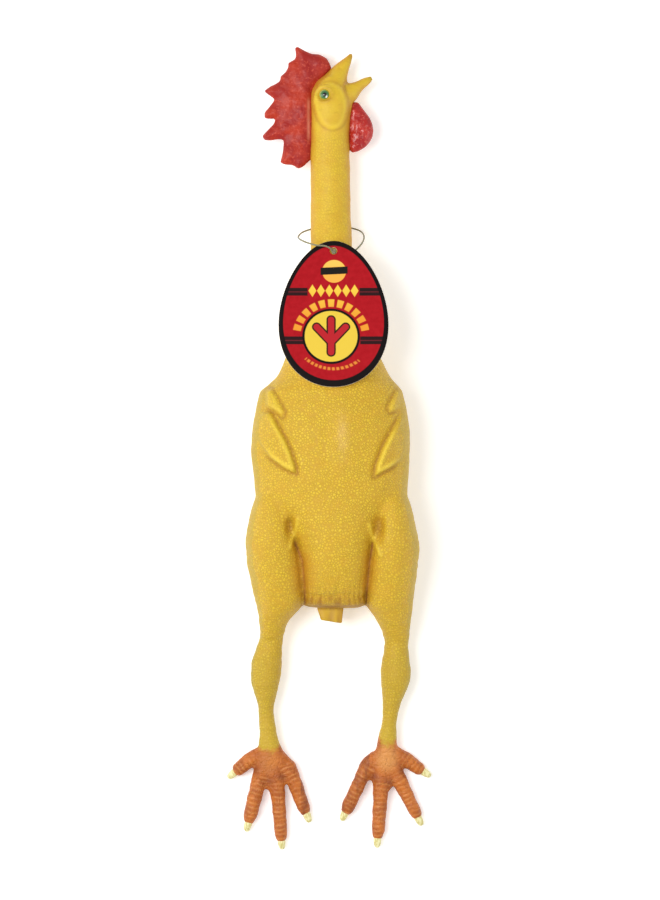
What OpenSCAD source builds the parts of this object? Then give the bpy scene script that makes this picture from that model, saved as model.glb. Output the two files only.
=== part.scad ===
// Rubber novelty chicken lying on its back, with an egg-shaped hang tag on a cord round its neck.
// The hollow rubber skin is divided where it folds: along the neck, at the hips and down the legs.
// +Z is up, +Y runs to the head, and the origin is on the flat of the back that rests on a table.

/* [Torso] */
// Length of the chest, from the top of the thighs to the neck seam
chest_l = 125; // [100:1:150]
// Full width of the chest across the wings
torso_w = 107; // [88:1:130]
// Depth of the torso from the back to the breast
torso_d = 68; // [56:1:82]
// Width of the belly between the thighs
belly_w = 47; // [38:1:57]
// Distance from the hip axis to the tail end
hip_to_tail = 45.5; // [40:0.5:56]
// Thickness of the hollow torso's wall
skin = 2.6; // [1.5:0.1:4]
// Width of the wing pads
wing_pad_w = 14; // [10:1:18]
// Width of the tail stub
tail_w = 18.5; // [14:0.5:22]
// Length of the tail stub outside the body
tail_l = 10.5; // [6:0.5:14]

/* [Neck and head] */
// Diameter of the neck
neck_d = 27; // [22:0.5:33]
// Length of the neck's first section, between its two bends
neck_root_l = 28; // [26:1:40]
// Length of the neck's middle section, between its two bends
neck_mid_l = 37; // [32:1:48]
// Length of the neck's last section, from its bend to the head
neck_top_l = 27; // [22:1:40]
// Length of the head from the neck seam to the top of the skull
head_l = 71.5; // [60:0.5:86]
// Width of the head in profile
head_w = 28.5; // [24:0.5:34]
// Thickness of the head
head_t = 28; // [24:0.5:33]
// Diameter of the raised eye
eye_d = 8; // [6:0.5:10]
// Thickness of the comb
comb_t = 8; // [5:0.5:11]
// Thickness of the wattle
wattle_t = 8; // [5:0.5:11]

/* [Legs] */
// Diameter of the round top of the thigh, about the hip axis
thigh_d = 54; // [44:1:60]
// Width of the thigh
thigh_w = 34; // [28:1:41]
// Distance from the hip axis to the knee
thigh_l = 65; // [56:1:78]
// Distance from the knee to the bend below the hock
hock_l = 40; // [34:1:48]
// Diameter of the hock's swelling
hock_d = 22.4; // [18:0.2:26]
// Distance from the bend below the hock to the ankle
shank_l = 33; // [28:1:40]
// Diameter of the shank
shank_d = 12.4; // [10:0.2:14]
// Diameter of the toes
toe_d = 10.4; // [8.6:0.2:12]
// Length of the claws
claw_l = 6.5; // [5:0.5:8]

/* [Tag and cord] */
// Width of the tag
tag_w = 72; // [60:1:86]
// Length of the tag
tag_h = 101; // [84:1:120]
// Thickness of the tag's card
tag_t = 0.9; // [0.4:0.1:2]
// Diameter of the tag's hole
tag_hole_d = 5; // [4.6:0.1:7]
// Diameter of the cord
cord_d = 1.1; // [0.8:0.1:1.6]

/* [Fit] */
// Clearance between pieces that move against each other
gap = 0.5; // [0.3:0.05:0.8]

/* [Hidden] */
SIDES = ["left", "right"];
TOES = ["inner", "middle", "outer", "hallux"];

yellow = "#e3bd3a";
orange = "#d27c36";
red = "#c23a30";
cream = "#efe6b0";

loft_sides = 28;      // points round each section of a lofted skin
loft_steps = 2;       // sections between two stations of an outline
socket_steps = 5;     // sections between a lofted socket's pole and its rim
pole = 8;             // size of the flat at a lofted socket's pole, in degrees
arc_step = 10;        // degrees between points of a revolved outline
max_rim = 70;         // widest a socket reaches round a ball, in degrees from its axis
rim_margin = 4;       // degrees kept free between a socket's rim and the neck or leg at full bend

// Radii
neck_r = neck_d / 2;
thigh_r = thigh_d / 2;
knee_r = 7.6;
knee_end_r = 9.2;
hock_ball_r = 0.93 * shank_d / 2;
ankle_r = shank_d / 2 + 0.2;
toe_r = toe_d / 2;
toe_ball_r = toe_r - 0.2;

// Bends in degrees that the sockets leave room for
nod_bend = 40;
neck_tilt = 12;       // the neck's slope down to the table
sway_bend = 20;
curl_bend = 50;
knee_bend = 20;
hock_bend = 50;
ankle_bend = 52;

// Places along the torso
hip_y = -62;
hip_z = thigh_r + 2;
chest_y = hip_y + thigh_r + 2 * gap;
front_y = chest_y + chest_l;
tail_y = hip_y - hip_to_tail;
spout_w = 22;
spout_d = 11;
spout_z = 21;
spout_wall = 2.4;
spout_depth = 5;
neck_flare = [5, 3];  // how much wider and deeper than the neck the chest is where they meet
neck_inset = 5;       // distance from the chest's front to the neck's first bend

// The neck: three bends in a line that slopes down, then level to the head
neck_z = 29.5;
neck_base = [0, front_y + neck_inset, neck_z];
neck_way = [0, cos(neck_tilt), -sin(neck_tilt)];
neck_sway_at = neck_base + neck_root_l * neck_way;
neck_curl_at = neck_sway_at + neck_mid_l * neck_way;
head_at = neck_curl_at + [0, neck_top_l, 0];
mouth_side = 10;      // mouth corner to the right of the head's axis
mouth_share = 0.83;   // and its share of the head's length
mouth_at = head_at + [mouth_side, mouth_share * head_l, 0];

// The legs, left then right: the sides lie a little differently, as a limp object does
side_of = [-1, 1];
knee_x = [-41, 42];
hock_x = [-45.5, 39.5];
ankle_x = [-42.5, 36];
knee_z = 15;
hock_z = 11.6;
ankle_z = 8.6;
function knee_at(i) = [knee_x[i], hip_y - thigh_l, knee_z];
function hock_at(i) = [hock_x[i], hip_y - thigh_l - hock_l, hock_z];
function ankle_at(i) = [ankle_x[i], hip_y - thigh_l - hock_l - shank_l, ankle_z];

// Each toe: how far out and ahead of the ankle its root is, its turn outward, and its length with the claw
toe_plan = [
    [[[-12.9, 13.1], -21, 41], [[-5.3, 23.8], -4.6, 46], [[5.6, 18.8], 14, 40], [[13.2, 5.6], 48, 20]],
    [[[-12.3, 13.1], -25, 41], [[-3, 24.5], -3.5, 44], [[8.4, 20.2], 26, 37], [[13.6, 5.2], 54, 21]]
];
toe_z = 5.8;
toe_tip_z = 4.5;
function toe_root(i, k) =
    let(p = toe_plan[i][k][0])
    [ankle_x[i] + side_of[i] * p[0], ankle_at(i)[1] - p[1], toe_z];
function toe_way(i, k) = let(t = side_of[i] * toe_plan[i][k][1]) [sin(t), -cos(t), 0];
function toe_end(i, k) =
    toe_root(i, k) + (toe_plan[i][k][2] - claw_l) * toe_way(i, k) - [0, 0, toe_z - toe_tip_z];

// The tag hangs from its hole, tilted so that its lower end clears the breast
tag_at = [1, 132, 43.5];
tag_tilt = 15;
tag_top = 7;          // card above the hole
knot_r = 1.9;

// The cord's route round the neck, from the knot in the tag's hole and back to it
cord_route = [
    [2, 131.2, 42.2], [5, 129.6, 40.2], [9, 129, 38.4], [15, 132.5, 34], [20, 138, 25],
    [21.5, 143, 16], [19, 147, 7.5], [12, 149.5, 2.4], [4, 150.5, 1.2], [-6, 150, 1.2],
    [-14, 148.5, 3], [-20, 146, 9.5], [-22.5, 143, 18], [-22, 141, 27], [-18, 138.5, 36],
    [-11, 136, 44], [-5, 135.4, 46.2], [-1.5, 134, 45.6], [0, 132.8, 44.5]
];
cord_sides = 8;
cord_steps = 3;       // rings between two points of the route

// ---- Curves and surfaces ----

// One value of a smooth curve through b and c, between a and d
function curve(a, b, c, d, t) =
    0.5 * (2 * b + (c - a) * t + (2 * a - 5 * b + 4 * c - d) * t * t + (3 * b - a - 3 * c + d) * t * t * t);

// A smooth line through every point of a list
function smooth(p, steps) =
    let(last = len(p) - 1)
    concat(
        [for (i = [0:last - 1], j = [0:steps - 1])
            curve(p[max(i - 1, 0)], p[i], p[i + 1], p[min(i + 2, last)], j / steps)],
        [p[last]]
    );

// An oval section across Y, cut flat where it would pass below the floor
function section(y, x, w, low, high, floor) =
    [for (k = [0:loft_sides - 1])
        let(a = 360 * k / loft_sides)
        [x + w * cos(a), y, max(floor, (low + high) / 2 + (high - low) / 2 * sin(a))]];

function round_section(y, x, z, r) = section(y, x, r, z - r, z + r, -1000);

// Sections of a hollow ball socket, from its pole to its rim, opening along the given sign of Y
function socket(at, r, rim, way) =
    [for (a = [pole:(rim - pole) / socket_steps:rim + 0.01])
        round_section(at[1] - way * (r + gap) * cos(a), at[0], at[2], (r + gap) * sin(a))];

// How far round a ball its socket reaches, so that the bend stays free
function rim_for(r, bend) = min(max_rim, 90 - rim_margin + acos(r / (r + gap)) - bend);

// A closed surface through sections of equal count
module loft(sections) {
    n = len(sections[0]);
    last = n * (len(sections) - 1);
    polyhedron(
        points = [for (s = sections, p = s) p],
        faces = concat(
            [[for (k = [n - 1:-1:0]) k]],
            [for (j = [0:len(sections) - 2], k = [0:n - 1])
                let(a = j * n + k, b = j * n + (k + 1) % n)
                each [[a, b, b + n], [a, b + n, a + n]]],
            [[for (k = [0:n - 1]) last + k]]
        )
    );
}

// Points of an arc in an outline that is revolved: radius first, height second
function arc(r, from, to, at) =
    let(n = ceil(abs(to - from) / arc_step))
    [for (k = [0:n]) let(a = from + (to - from) * k / n) [max(0, r * cos(a)), at + r * sin(a)]];

// The socket's end of a revolved outline
function socket_end(at, end_r, r, bend) =
    let(rim = rim_for(r, bend))
    concat([[end_r, at - end_r / tan(rim)]], arc(r + gap, rim - 90, -90, at));

// Turns a piece made along +Z to run from one point towards another
module along(from, to) {
    d = to - from;
    translate(from)
        rotate([0, acos(d[2] / norm(d)), atan2(d[1], d[0])])
            children();
}

module revolved(outline) {
    rotate_extrude($fn = 48)
        polygon(outline);
}

// A section of limb from one bend to the next: a ball, a profile of [radius, height], and a socket
module limb(from, to, ball_r, profile, end_r, next_r, bend) {
    length = norm(to - from);
    along(from, to)
        revolved(concat(arc(ball_r, -90, 0, 0), profile, socket_end(length, end_r, next_r, bend)));
}

// ---- Torso ----

// Chest stations: share of the chest's length, half width, underside and top as shares of width and depth
chest_plan = [
    [0, 0.935, -0.12, 0.95], [0.113, 0.98, -0.12, 0.985], [0.313, 1, -0.12, 1],
    [0.473, 0.953, -0.115, 0.985], [0.577, 0.88, -0.1, 0.955], [0.649, 0.766, -0.09, 0.92],
    [0.728, 0.673, -0.045, 0.875], [0.832, 0.542, 0.03, 0.8], [0.912, 0.449, 0.103, 0.735]
];
neck_seam = [front_y, neck_r + neck_flare[0], neck_z - neck_r - neck_flare[1], neck_z + neck_r + neck_flare[1]];

// Belly stations, from the tail to the chest: share of its length and half width, underside and top
belly_plan = [
    [0.02, 0.64, 0.147, 0.485], [0.075, 0.85, 0.03, 0.62], [0.17, 0.975, -0.06, 0.735],
    [0.375, 1, -0.09, 0.84], [0.648, 1, -0.09, 0.91], [1, 1, -0.09, 0.925]
];

function chest_stations() =
    concat(
        [for (s = chest_plan) [chest_y + s[0] * chest_l, s[1] * torso_w / 2, s[2] * torso_d, s[3] * torso_d]],
        [neck_seam]
    );
function belly_stations() =
    [for (s = belly_plan)
        [tail_y + s[0] * (chest_y - tail_y), s[1] * belly_w / 2, s[2] * torso_d, s[3] * torso_d]];

chest = smooth(chest_stations(), loft_steps);
belly = smooth(belly_stations(), loft_steps);

// The inner surface follows the outer one, a wall's thickness inside it
function inset(s) = section(s[0], 0, s[1] - skin, s[2] + skin, s[3] - skin, skin);
function outset(s) = section(s[0], 0, s[1], s[2], s[3], 0);

module torso_shell() {
    cavity_end = neck_base[1] - neck_r - gap - skin - 1;
    inner = concat(
        [for (s = belly) if (s[0] > tail_y + spout_depth + 1 && s[0] < chest_y - skin) inset(s)],
        [inset([chest_y - skin / 2, belly[len(belly) - 1][1], belly[len(belly) - 1][2], belly[len(belly) - 1][3]])],
        [for (s = chest) if (s[0] > chest_y + skin && s[0] < cavity_end) inset(s)]
    );
    spout_in = [for (y = [tail_y + spout_depth, tail_y - 0.6])
        section(y, 0, spout_w / 2 - spout_wall, spout_z - spout_d / 2 + spout_wall,
            spout_z + spout_d / 2 - spout_wall, 0)];
    spout_out = [section(tail_y - 0.6, 0, spout_w / 2, spout_z - spout_d / 2, spout_z + spout_d / 2, 0)];
    neck_socket = socket(neck_base, neck_r, rim_for(neck_r, nod_bend + neck_tilt), 1);
    color(yellow)
        loft(concat(
            [for (k = [len(inner) - 1:-1:0]) inner[k]],
            spout_in,
            spout_out,
            [for (s = belly) outset(s)],
            [for (s = chest) outset([max(s[0], chest_y + 0.2), s[1], s[2], s[3]])],
            [for (k = [socket_steps:-1:0]) neck_socket[k]]
        ));
}

// The stub that closes the spout at the tail and hangs below it
module tail_plug() {
    inside = [spout_w - 2 * spout_wall - 4, spout_depth + 3, spout_d - 2 * spout_wall - 1.6];
    outside = [tail_w, tail_l, 8];
    color(yellow)
        union() {
            translate([-inside[0] / 2, tail_y - 1, spout_z - inside[2] / 2])
                cube(inside);
            translate([-outside[0] / 2, tail_y - 0.6 - tail_l, spout_z - outside[2] / 2])
                cube(outside);
        }
}

// Height of the chest's front surface at a place across and along it
function chest_top(x, y) =
    let(
        w = lookup(y, [for (s = chest) [s[0], s[1]]]),
        low = lookup(y, [for (s = chest) [s[0], s[2]]]),
        high = lookup(y, [for (s = chest) [s[0], s[3]]])
    )
    (low + high) / 2 + (high - low) / 2 * sqrt(max(0, 1 - pow(x / w, 2)));

// Wing pads, as shares of the chest's half width and length: elbow, wrist, tip and lower edge
wing_elbow = [[0.8, 0.56], [0.62, 0.46]];
wing_blade = [[0.76, 0.45], [0.83, 0.28], [0.47, 0.17]];
wing_sink = 1.4;      // the pad's balls sit this much below the chest's surface

module wing_ball(side, place, r) {
    x = place[0] * torso_w / 2;
    y = chest_y + place[1] * chest_l;
    translate([side * x, y, chest_top(x, y) - wing_sink])
        sphere(r, $fn = 20);
}

module wing(i) {
    side = side_of[i];
    color(yellow)
        union() {
            hull() {
                wing_ball(side, wing_elbow[0], wing_pad_w / 3);
                wing_ball(side, wing_elbow[1], wing_pad_w / 3);
            }
            hull() {
                wing_ball(side, wing_blade[0], wing_pad_w / 3);
                wing_ball(side, wing_blade[1], wing_pad_w / 3);
                wing_ball(side, wing_blade[2], wing_pad_w / 4.5);
            }
        }
}

// ---- Neck ----

module neck_root() {
    color(yellow)
        limb(neck_base, neck_sway_at, neck_r, [], neck_r, neck_r, sway_bend);
}

module neck_mid() {
    color(yellow)
        limb(neck_sway_at, neck_curl_at, neck_r, [], neck_r, neck_r, curl_bend + neck_tilt);
}

// The last section ends flat, so that the head turns on it
module neck_top() {
    flat = neck_top_l - gap;
    color(yellow)
        along(neck_curl_at, head_at)
            revolved(concat(arc(neck_r, -90, 0, 0), [[neck_r, flat], [0, flat]]));
}

// ---- Head ----

// Head stations: share of its length, centre and half width across, and half thickness
head_plan = [
    [0, 0, 0.47, 0.48], [0.18, -0.02, 0.475, 0.48], [0.35, -0.035, 0.465, 0.48],
    [0.5, -0.03, 0.46, 0.49], [0.64, -0.03, 0.455, 0.5], [0.74, -0.04, 0.44, 0.49],
    [0.81, -0.02, 0.365, 0.46], [0.88, 0.06, 0.25, 0.36], [0.95, 0.11, 0.17, 0.24], [1, 0.12, 0.08, 0.1]
];

module head_shell() {
    stations = smooth(head_plan, loft_steps);
    color(yellow)
        loft([for (s = stations)
            section(head_at[1] + s[0] * head_l, head_at[0] + s[1] * head_w, s[2] * head_w,
                head_at[2] - s[3] * head_t, head_at[2] + s[3] * head_t, 0)]);
}

module bead(at, r) {
    translate(at)
        sphere(r, $fn = 20);
}

module upper_beak() {
    color(yellow)
        hull() {
            bead(mouth_at + [-4.6, 4.6, 0], 4.4);
            bead(mouth_at + [-0.6, 9, 0], 3);
            bead(mouth_at + [2.1, 17.6, 0], 1.3);
        }
}

module lower_beak() {
    color(yellow)
        hull() {
            bead(mouth_at + [6.4, -4.8, 0], 4);
            bead(mouth_at + [10, -2.6, 0], 3.4);
            bead(mouth_at + [15.4, 2, 0], 1.2);
        }
}

module eye(side) {
    place = head_at + [-0.165 * head_w, 0.7 * head_l, side * (0.455 * head_t + 1.3 - eye_d / 2)];
    color("#3f7d4a")
        translate(place)
            sphere(d = eye_d, $fn = 32);
}

// The comb's and the wattle's edges are drawn beside a head of this length and half width,
// and follow the head's
drawn_head_l = 71.5;
drawn_head_r = 14.25;
edge_scale = head_l / drawn_head_l;
edge_shift = head_w / 2 - drawn_head_r;

// The comb's edge from the brow over the top and down its spikes: [left of the head's axis, above the seam]
comb_edge = [
    [1.5, 71], [3.5, 74.5], [8.5, 78], [14, 77.5], [23, 82.5], [24.5, 79], [24, 73.5], [29, 71],
    [29.5, 67], [34.5, 61.5], [36, 57.5], [41.5, 55.5], [45.5, 52], [37.5, 47], [42, 42.5],
    [45, 37], [44.5, 34.5], [37.5, 34], [39, 32], [44, 25.5], [46.5, 23], [42, 20.5], [32, 21],
    [34.5, 4.8], [26, 4.4], [22.5, 1.8], [18, 4.6]
];
// Its inner edge follows the head and leaves room to flap
comb_root = [[16.2, 4.8], [16.2, 52], [13.8, 57.5], [7.6, 63.5], [4.4, 67.5]];

module comb() {
    color(red)
        translate([head_at[0], head_at[1], head_at[2] - comb_t / 2])
            linear_extrude(comb_t)
                polygon([for (p = concat(comb_edge, comb_root)) [-p[0] - edge_shift, p[1] * edge_scale]]);
}

// The wattle's edge below the chin: [right of the head's axis, above the seam]
wattle_edge = [
    [16.2, 44.5], [19.2, 44.2], [21, 41], [26.2, 34], [27.5, 27], [25.4, 20], [20.6, 15.4],
    [16.2, 13.4], [15.4, 18], [15.4, 38]
];

module wattle() {
    color(red)
        translate([head_at[0], head_at[1], head_at[2] - wattle_t / 2])
            linear_extrude(wattle_t)
                polygon([for (p = wattle_edge) [p[0] + edge_shift, p[1] * edge_scale]]);
}

// ---- Legs ----

// Drumstick stations below the hip: share of the way to the knee, inner and outer edge as shares of the
// thigh's width, underside and top as shares of its diameter about the hip axis
drumstick_plan = [
    [0.87, 0.16, 0.83, 0.05, 0.52], [0.74, 0.04, 0.88, -0.005, 0.66], [0.54, 0, 0.95, -0.01, 0.8],
    [0.3, 0, 1.01, -0.008, 0.93], [0, 0, 1, 0, 1]
];
lobe_angles = [12, 25, 40, 55, 70, 82];

module thigh(i) {
    side = side_of[i];
    inner_x = belly_w / 2 + gap;
    knee = knee_at(i);
    rim = rim_for(knee_r, knee_bend);
    stations = smooth([for (s = drumstick_plan)
        [hip_y - s[0] * thigh_l, side * (inner_x + (s[1] + s[2]) / 2 * thigh_w), (s[2] - s[1]) / 2 * thigh_w,
            hip_z - thigh_r + s[3] * thigh_d, hip_z - thigh_r + s[4] * thigh_d]], loft_steps);
    color(yellow)
        loft(concat(
            socket(knee, knee_r, rim, -1),
            [round_section(knee[1] + knee_end_r / tan(rim), knee[0], knee[2], knee_end_r)],
            [for (s = stations) section(s[0], s[1], s[2], s[3], s[4], -1000)],
            [for (a = lobe_angles)
                let(w = thigh_w / 2 * (0.4 + 0.6 * cos(a)))
                section(hip_y + thigh_r * sin(a), side * (inner_x + thigh_w / 2), w,
                    hip_z - thigh_r * cos(a), hip_z + thigh_r * cos(a), -1000)]
        ));
}

module hock(i) {
    swell = hock_d / 2;
    color(yellow)
        limb(knee_at(i), hock_at(i), knee_r,
            [[knee_r + 0.8, 0.15 * hock_l], [swell - 0.8, 0.4 * hock_l], [swell, 0.5 * hock_l],
                [swell, 0.62 * hock_l], [swell - 2, 0.75 * hock_l]],
            hock_ball_r + 1.8, hock_ball_r, hock_bend);
}

module shank(i) {
    color(yellow)
        limb(hock_at(i), ankle_at(i), hock_ball_r,
            [[shank_d / 2, 0.15 * shank_l], [shank_d / 2, 0.6 * shank_l]],
            ankle_r + 1.2, ankle_r, ankle_bend);
}

// The foot's pad reaches from the ankle to just short of each toe's ball
pad_r = 4.4;
pad_clear = [1.8, 4.8, 1.8, 1.6];
module foot(i) {
    ankle = ankle_at(i);
    color(orange)
        hull() {
            translate(ankle)
                sphere(ankle_r, $fn = 28);
            for (k = [0:3]) {
                root = toe_root(i, k);
                d = root - ankle;
                translate(root - (toe_ball_r + pad_clear[k] + pad_r) * d / norm(d))
                    sphere(pad_r, $fn = 20);
            }
        }
}

// A toe tapers from its ball to the claw
toe_tip_share = 0.66; // the toe's radius at the claw, as a share of its full one
claw_point_r = 0.6;
module toe(i, k) {
    length = norm(toe_end(i, k) - toe_root(i, k));
    color(orange)
        along(toe_root(i, k), toe_end(i, k))
            revolved(concat(
                arc(toe_ball_r, -90, 0, 0),
                [[toe_r, 0.3 * length], [0.9 * toe_r, 0.75 * length],
                    [toe_tip_share * toe_r, length], [0, length]]
            ));
}

module claw(i, k) {
    length = norm(toe_end(i, k) - toe_root(i, k));
    color(cream)
        along(toe_root(i, k), toe_end(i, k))
            translate([0, 0, length])
                cylinder(h = claw_l, r1 = 0.8 * toe_tip_share * toe_r, r2 = claw_point_r, $fn = 32);
}

// ---- Tag and cord ----

// An egg outline round the tag's centre, narrower at the top
egg_taper = 0.16;
function egg(w, h) =
    [for (a = [0:6:354]) [w / 2 * sin(a) * (1 - egg_taper * cos(a)), h / 2 * cos(a)]];

module tag_card() {
    color("#b51f2a")
        translate(tag_at)
            rotate([-tag_tilt, 0, 0])
                difference() {
                    translate([0, tag_top - tag_h / 2, -tag_t / 2])
                        linear_extrude(tag_t)
                            polygon(egg(tag_w, tag_h));
                    translate([0, 0, -tag_t])
                        cylinder(h = 2 * tag_t, d = tag_hole_d, $fn = 32);
                }
}

function unit(v) = v / norm(v);

// Sweeps a round cord along a route, with its sections square to the route
module cord(route, d, sides) {
    last = len(route) - 1;
    loft([for (k = [0:last])
        let(
            way = unit(route[min(k + 1, last)] - route[max(k - 1, 0)]),
            side = unit(cross(way, [0.2, 1, 0.1])),
            up = cross(way, side)
        )
        [for (j = [0:sides - 1])
            let(a = 360 * j / sides)
            route[k] + d / 2 * (cos(a) * up + sin(a) * side)]]);
}

module tag_loop() {
    color("#7c7a56")
        cord(smooth(cord_route, cord_steps), cord_d, cord_sides);
}

module loop_knot() {
    color("#7c7a56")
        translate(tag_at)
            sphere(knot_r, $fn = 32);
}

// ---- The pieces ----

torso_shell();
tail_plug();
neck_root();
neck_mid();
neck_top();
head_shell();
upper_beak();
lower_beak();
comb();
wattle();
eye(1);  // eye_left
eye(-1);  // eye_right
for (i = [0, 1]) {
    wing(i);
    thigh(i);
    hock(i);
    shank(i);
    foot(i);
    for (k = [0:3]) {
        toe(i, k);
        claw(i, k);
    }
}
tag_card();
tag_loop();
loop_knot();
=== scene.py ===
"""A rubber chicken lying on its back, with a printed swing tag on a cord round its neck."""
import logging
import math
from dataclasses import dataclass, field
from enum import Enum
from typing import Callable, Dict, List, Optional, Sequence, Tuple, Union

import bpy
import numpy as np
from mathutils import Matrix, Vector


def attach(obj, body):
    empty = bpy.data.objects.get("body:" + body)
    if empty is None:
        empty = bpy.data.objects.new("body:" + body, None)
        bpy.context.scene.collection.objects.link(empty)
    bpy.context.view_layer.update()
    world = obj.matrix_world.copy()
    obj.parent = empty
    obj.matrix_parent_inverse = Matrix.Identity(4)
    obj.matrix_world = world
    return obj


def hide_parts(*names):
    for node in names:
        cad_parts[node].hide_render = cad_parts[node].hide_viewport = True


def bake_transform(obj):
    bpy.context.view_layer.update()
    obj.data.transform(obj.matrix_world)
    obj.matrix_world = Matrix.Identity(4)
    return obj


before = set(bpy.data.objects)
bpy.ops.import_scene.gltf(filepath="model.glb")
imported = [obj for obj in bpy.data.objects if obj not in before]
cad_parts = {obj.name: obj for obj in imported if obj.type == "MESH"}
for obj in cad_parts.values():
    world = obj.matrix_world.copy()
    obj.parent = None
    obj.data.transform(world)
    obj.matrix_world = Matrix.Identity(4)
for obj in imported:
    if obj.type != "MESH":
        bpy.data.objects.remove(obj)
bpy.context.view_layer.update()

log = logging.getLogger("rubber_chicken")

MM = 0.001
FORM_FLOOR = 0.4      # the lowest that a lofted form reaches, in millimetres
SKIN_FLOOR = 0.3      # the lowest that the finished skin reaches
Point = Tuple[float, float, float]
Rows = Sequence[Sequence[float]]
Outline = Sequence[Tuple[float, float]]
Array = np.ndarray
Socket = bpy.types.NodeSocket
Value = Union[float, str, Point, Socket]


class Side(Enum):
    """A side of the object as it is seen from above, with its sign along X."""

    LEFT = -1
    RIGHT = 1

    @property
    def tag(self) -> str:
        """The side's word in the frame's names."""
        return self.name.lower()


# ---- Colours and nodes ----


def linear(code: str) -> Tuple[float, float, float, float]:
    """Turns an sRGB hex colour into linear light.

    Args:
        code: Six hex digits.

    Returns:
        Red, green, blue and alpha.
    """
    parts = [int(code[k:k + 2], 16) / 255 for k in (0, 2, 4)]
    red, green, blue = [c / 12.92 if c <= 0.04045 else ((c + 0.055) / 1.055) ** 2.4 for c in parts]
    return red, green, blue, 1.0


def scale_of(size_mm: float) -> float:
    """The scale of a pattern whose grains are that many millimetres across."""
    return 1 / (size_mm * MM)


# For each short word: a node's type, its inputs in the order in which they are given, its output and its settings
KINDS: Dict[str, Tuple[str, Tuple[Union[int, str], ...], Union[int, str], Dict[str, str]]] = {
    "ramp": ("MapRange", (0, 1, 2, 3, 4), 0, {"interpolation_type": "SMOOTHSTEP"}),
    "mix": ("Mix", (0, 6, 7), 2, {"data_type": "RGBA"}),
    "noise": ("TexNoise", ("Vector", "Scale", "Detail", "Roughness"), 0, {}),
    "cells": ("TexVoronoi", ("Vector", "Scale"), "Distance", {"feature": "DISTANCE_TO_EDGE"}),
    "stretch": ("Mapping", ("Vector", "Scale"), 0, {}),
    "bump": ("Bump", ("Height", "Distance", "Strength", "Normal"), 0, {}),
    "shift": ("VectorMath", (0, 1), 0, {"operation": "ADD"}),
    "shrink": ("VectorMath", ("Vector", "Scale"), 0, {"operation": "SCALE"}),
    "place": ("Attribute", (), "Vector", {"attribute_name": "place"}),
    "mask": ("Attribute", (), "Fac", {}),
    "own": ("TexCoord", (), "Object", {}),
    "uv": ("TexCoord", (), "UV", {}),
    "axis": ("SeparateXYZ", (0,), 0, {}),
}


class Painter:
    """A finish's material, whose nodes are all added by one method."""

    def __init__(self, name: str) -> None:
        """Starts a material of that name with an empty node tree."""
        self.material = bpy.data.materials.new(name)
        self.material.use_nodes = True
        self.tree = self.material.node_tree
        self.tree.nodes.clear()

    def add(self, kind: str, *values: Value, out: Optional[Union[int, str]] = None, **settings: str) -> Socket:
        """Adds a node with its settings, values and links.

        Args:
            kind: A word from KINDS, or an arithmetic operation in capitals.
            *values: A number, colour in hex digits or output socket for each input.
            out: The output that is wanted, where it isn't the usual one.
            **settings: Properties of the node.

        Returns:
            One output of the new node.
        """
        usual = ("Math", (0, 1, 2), 0, {"operation": kind})
        type_name, inputs, output, fixed = KINDS.get(kind, usual)
        made = self.tree.nodes.new("ShaderNode" + type_name)
        for name, value in {**fixed, **settings}.items():
            setattr(made, name, value)
        for name, value in zip(inputs, values):
            if isinstance(value, Socket):
                self.tree.links.new(value, made.inputs[name])
            else:
                made.inputs[name].default_value = linear(value) if isinstance(value, str) else value
        return made.outputs[output if out is None else out]

    def finish(self, colour: Value, roughness: Value, normal: Optional[Socket] = None,
               **values: Value) -> bpy.types.Material:
        """Joins colour, roughness and normal to the shader and the output, and sets its other values."""
        shader = self.tree.nodes.new("ShaderNodeBsdfPrincipled")
        surface = self.tree.nodes.new("ShaderNodeOutputMaterial")
        self.tree.links.new(shader.outputs[0], surface.inputs["Surface"])
        for name, value in {"Base_Color": colour, "Roughness": roughness, "Normal": normal, **values}.items():
            socket = shader.inputs[name.replace("_", " ")]
            if isinstance(value, Socket):
                self.tree.links.new(value, socket)
            elif value is not None:
                socket.default_value = value
        return self.material


# ---- Finishes ----

# The tag's egg: its size, how far its top lies above the hole, and how much narrower it is at the top
TAG_WIDTH, TAG_HEIGHT, TAG_TOP, TAG_TAPER = 72.0, 101.0, 7.0, 0.16


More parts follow.
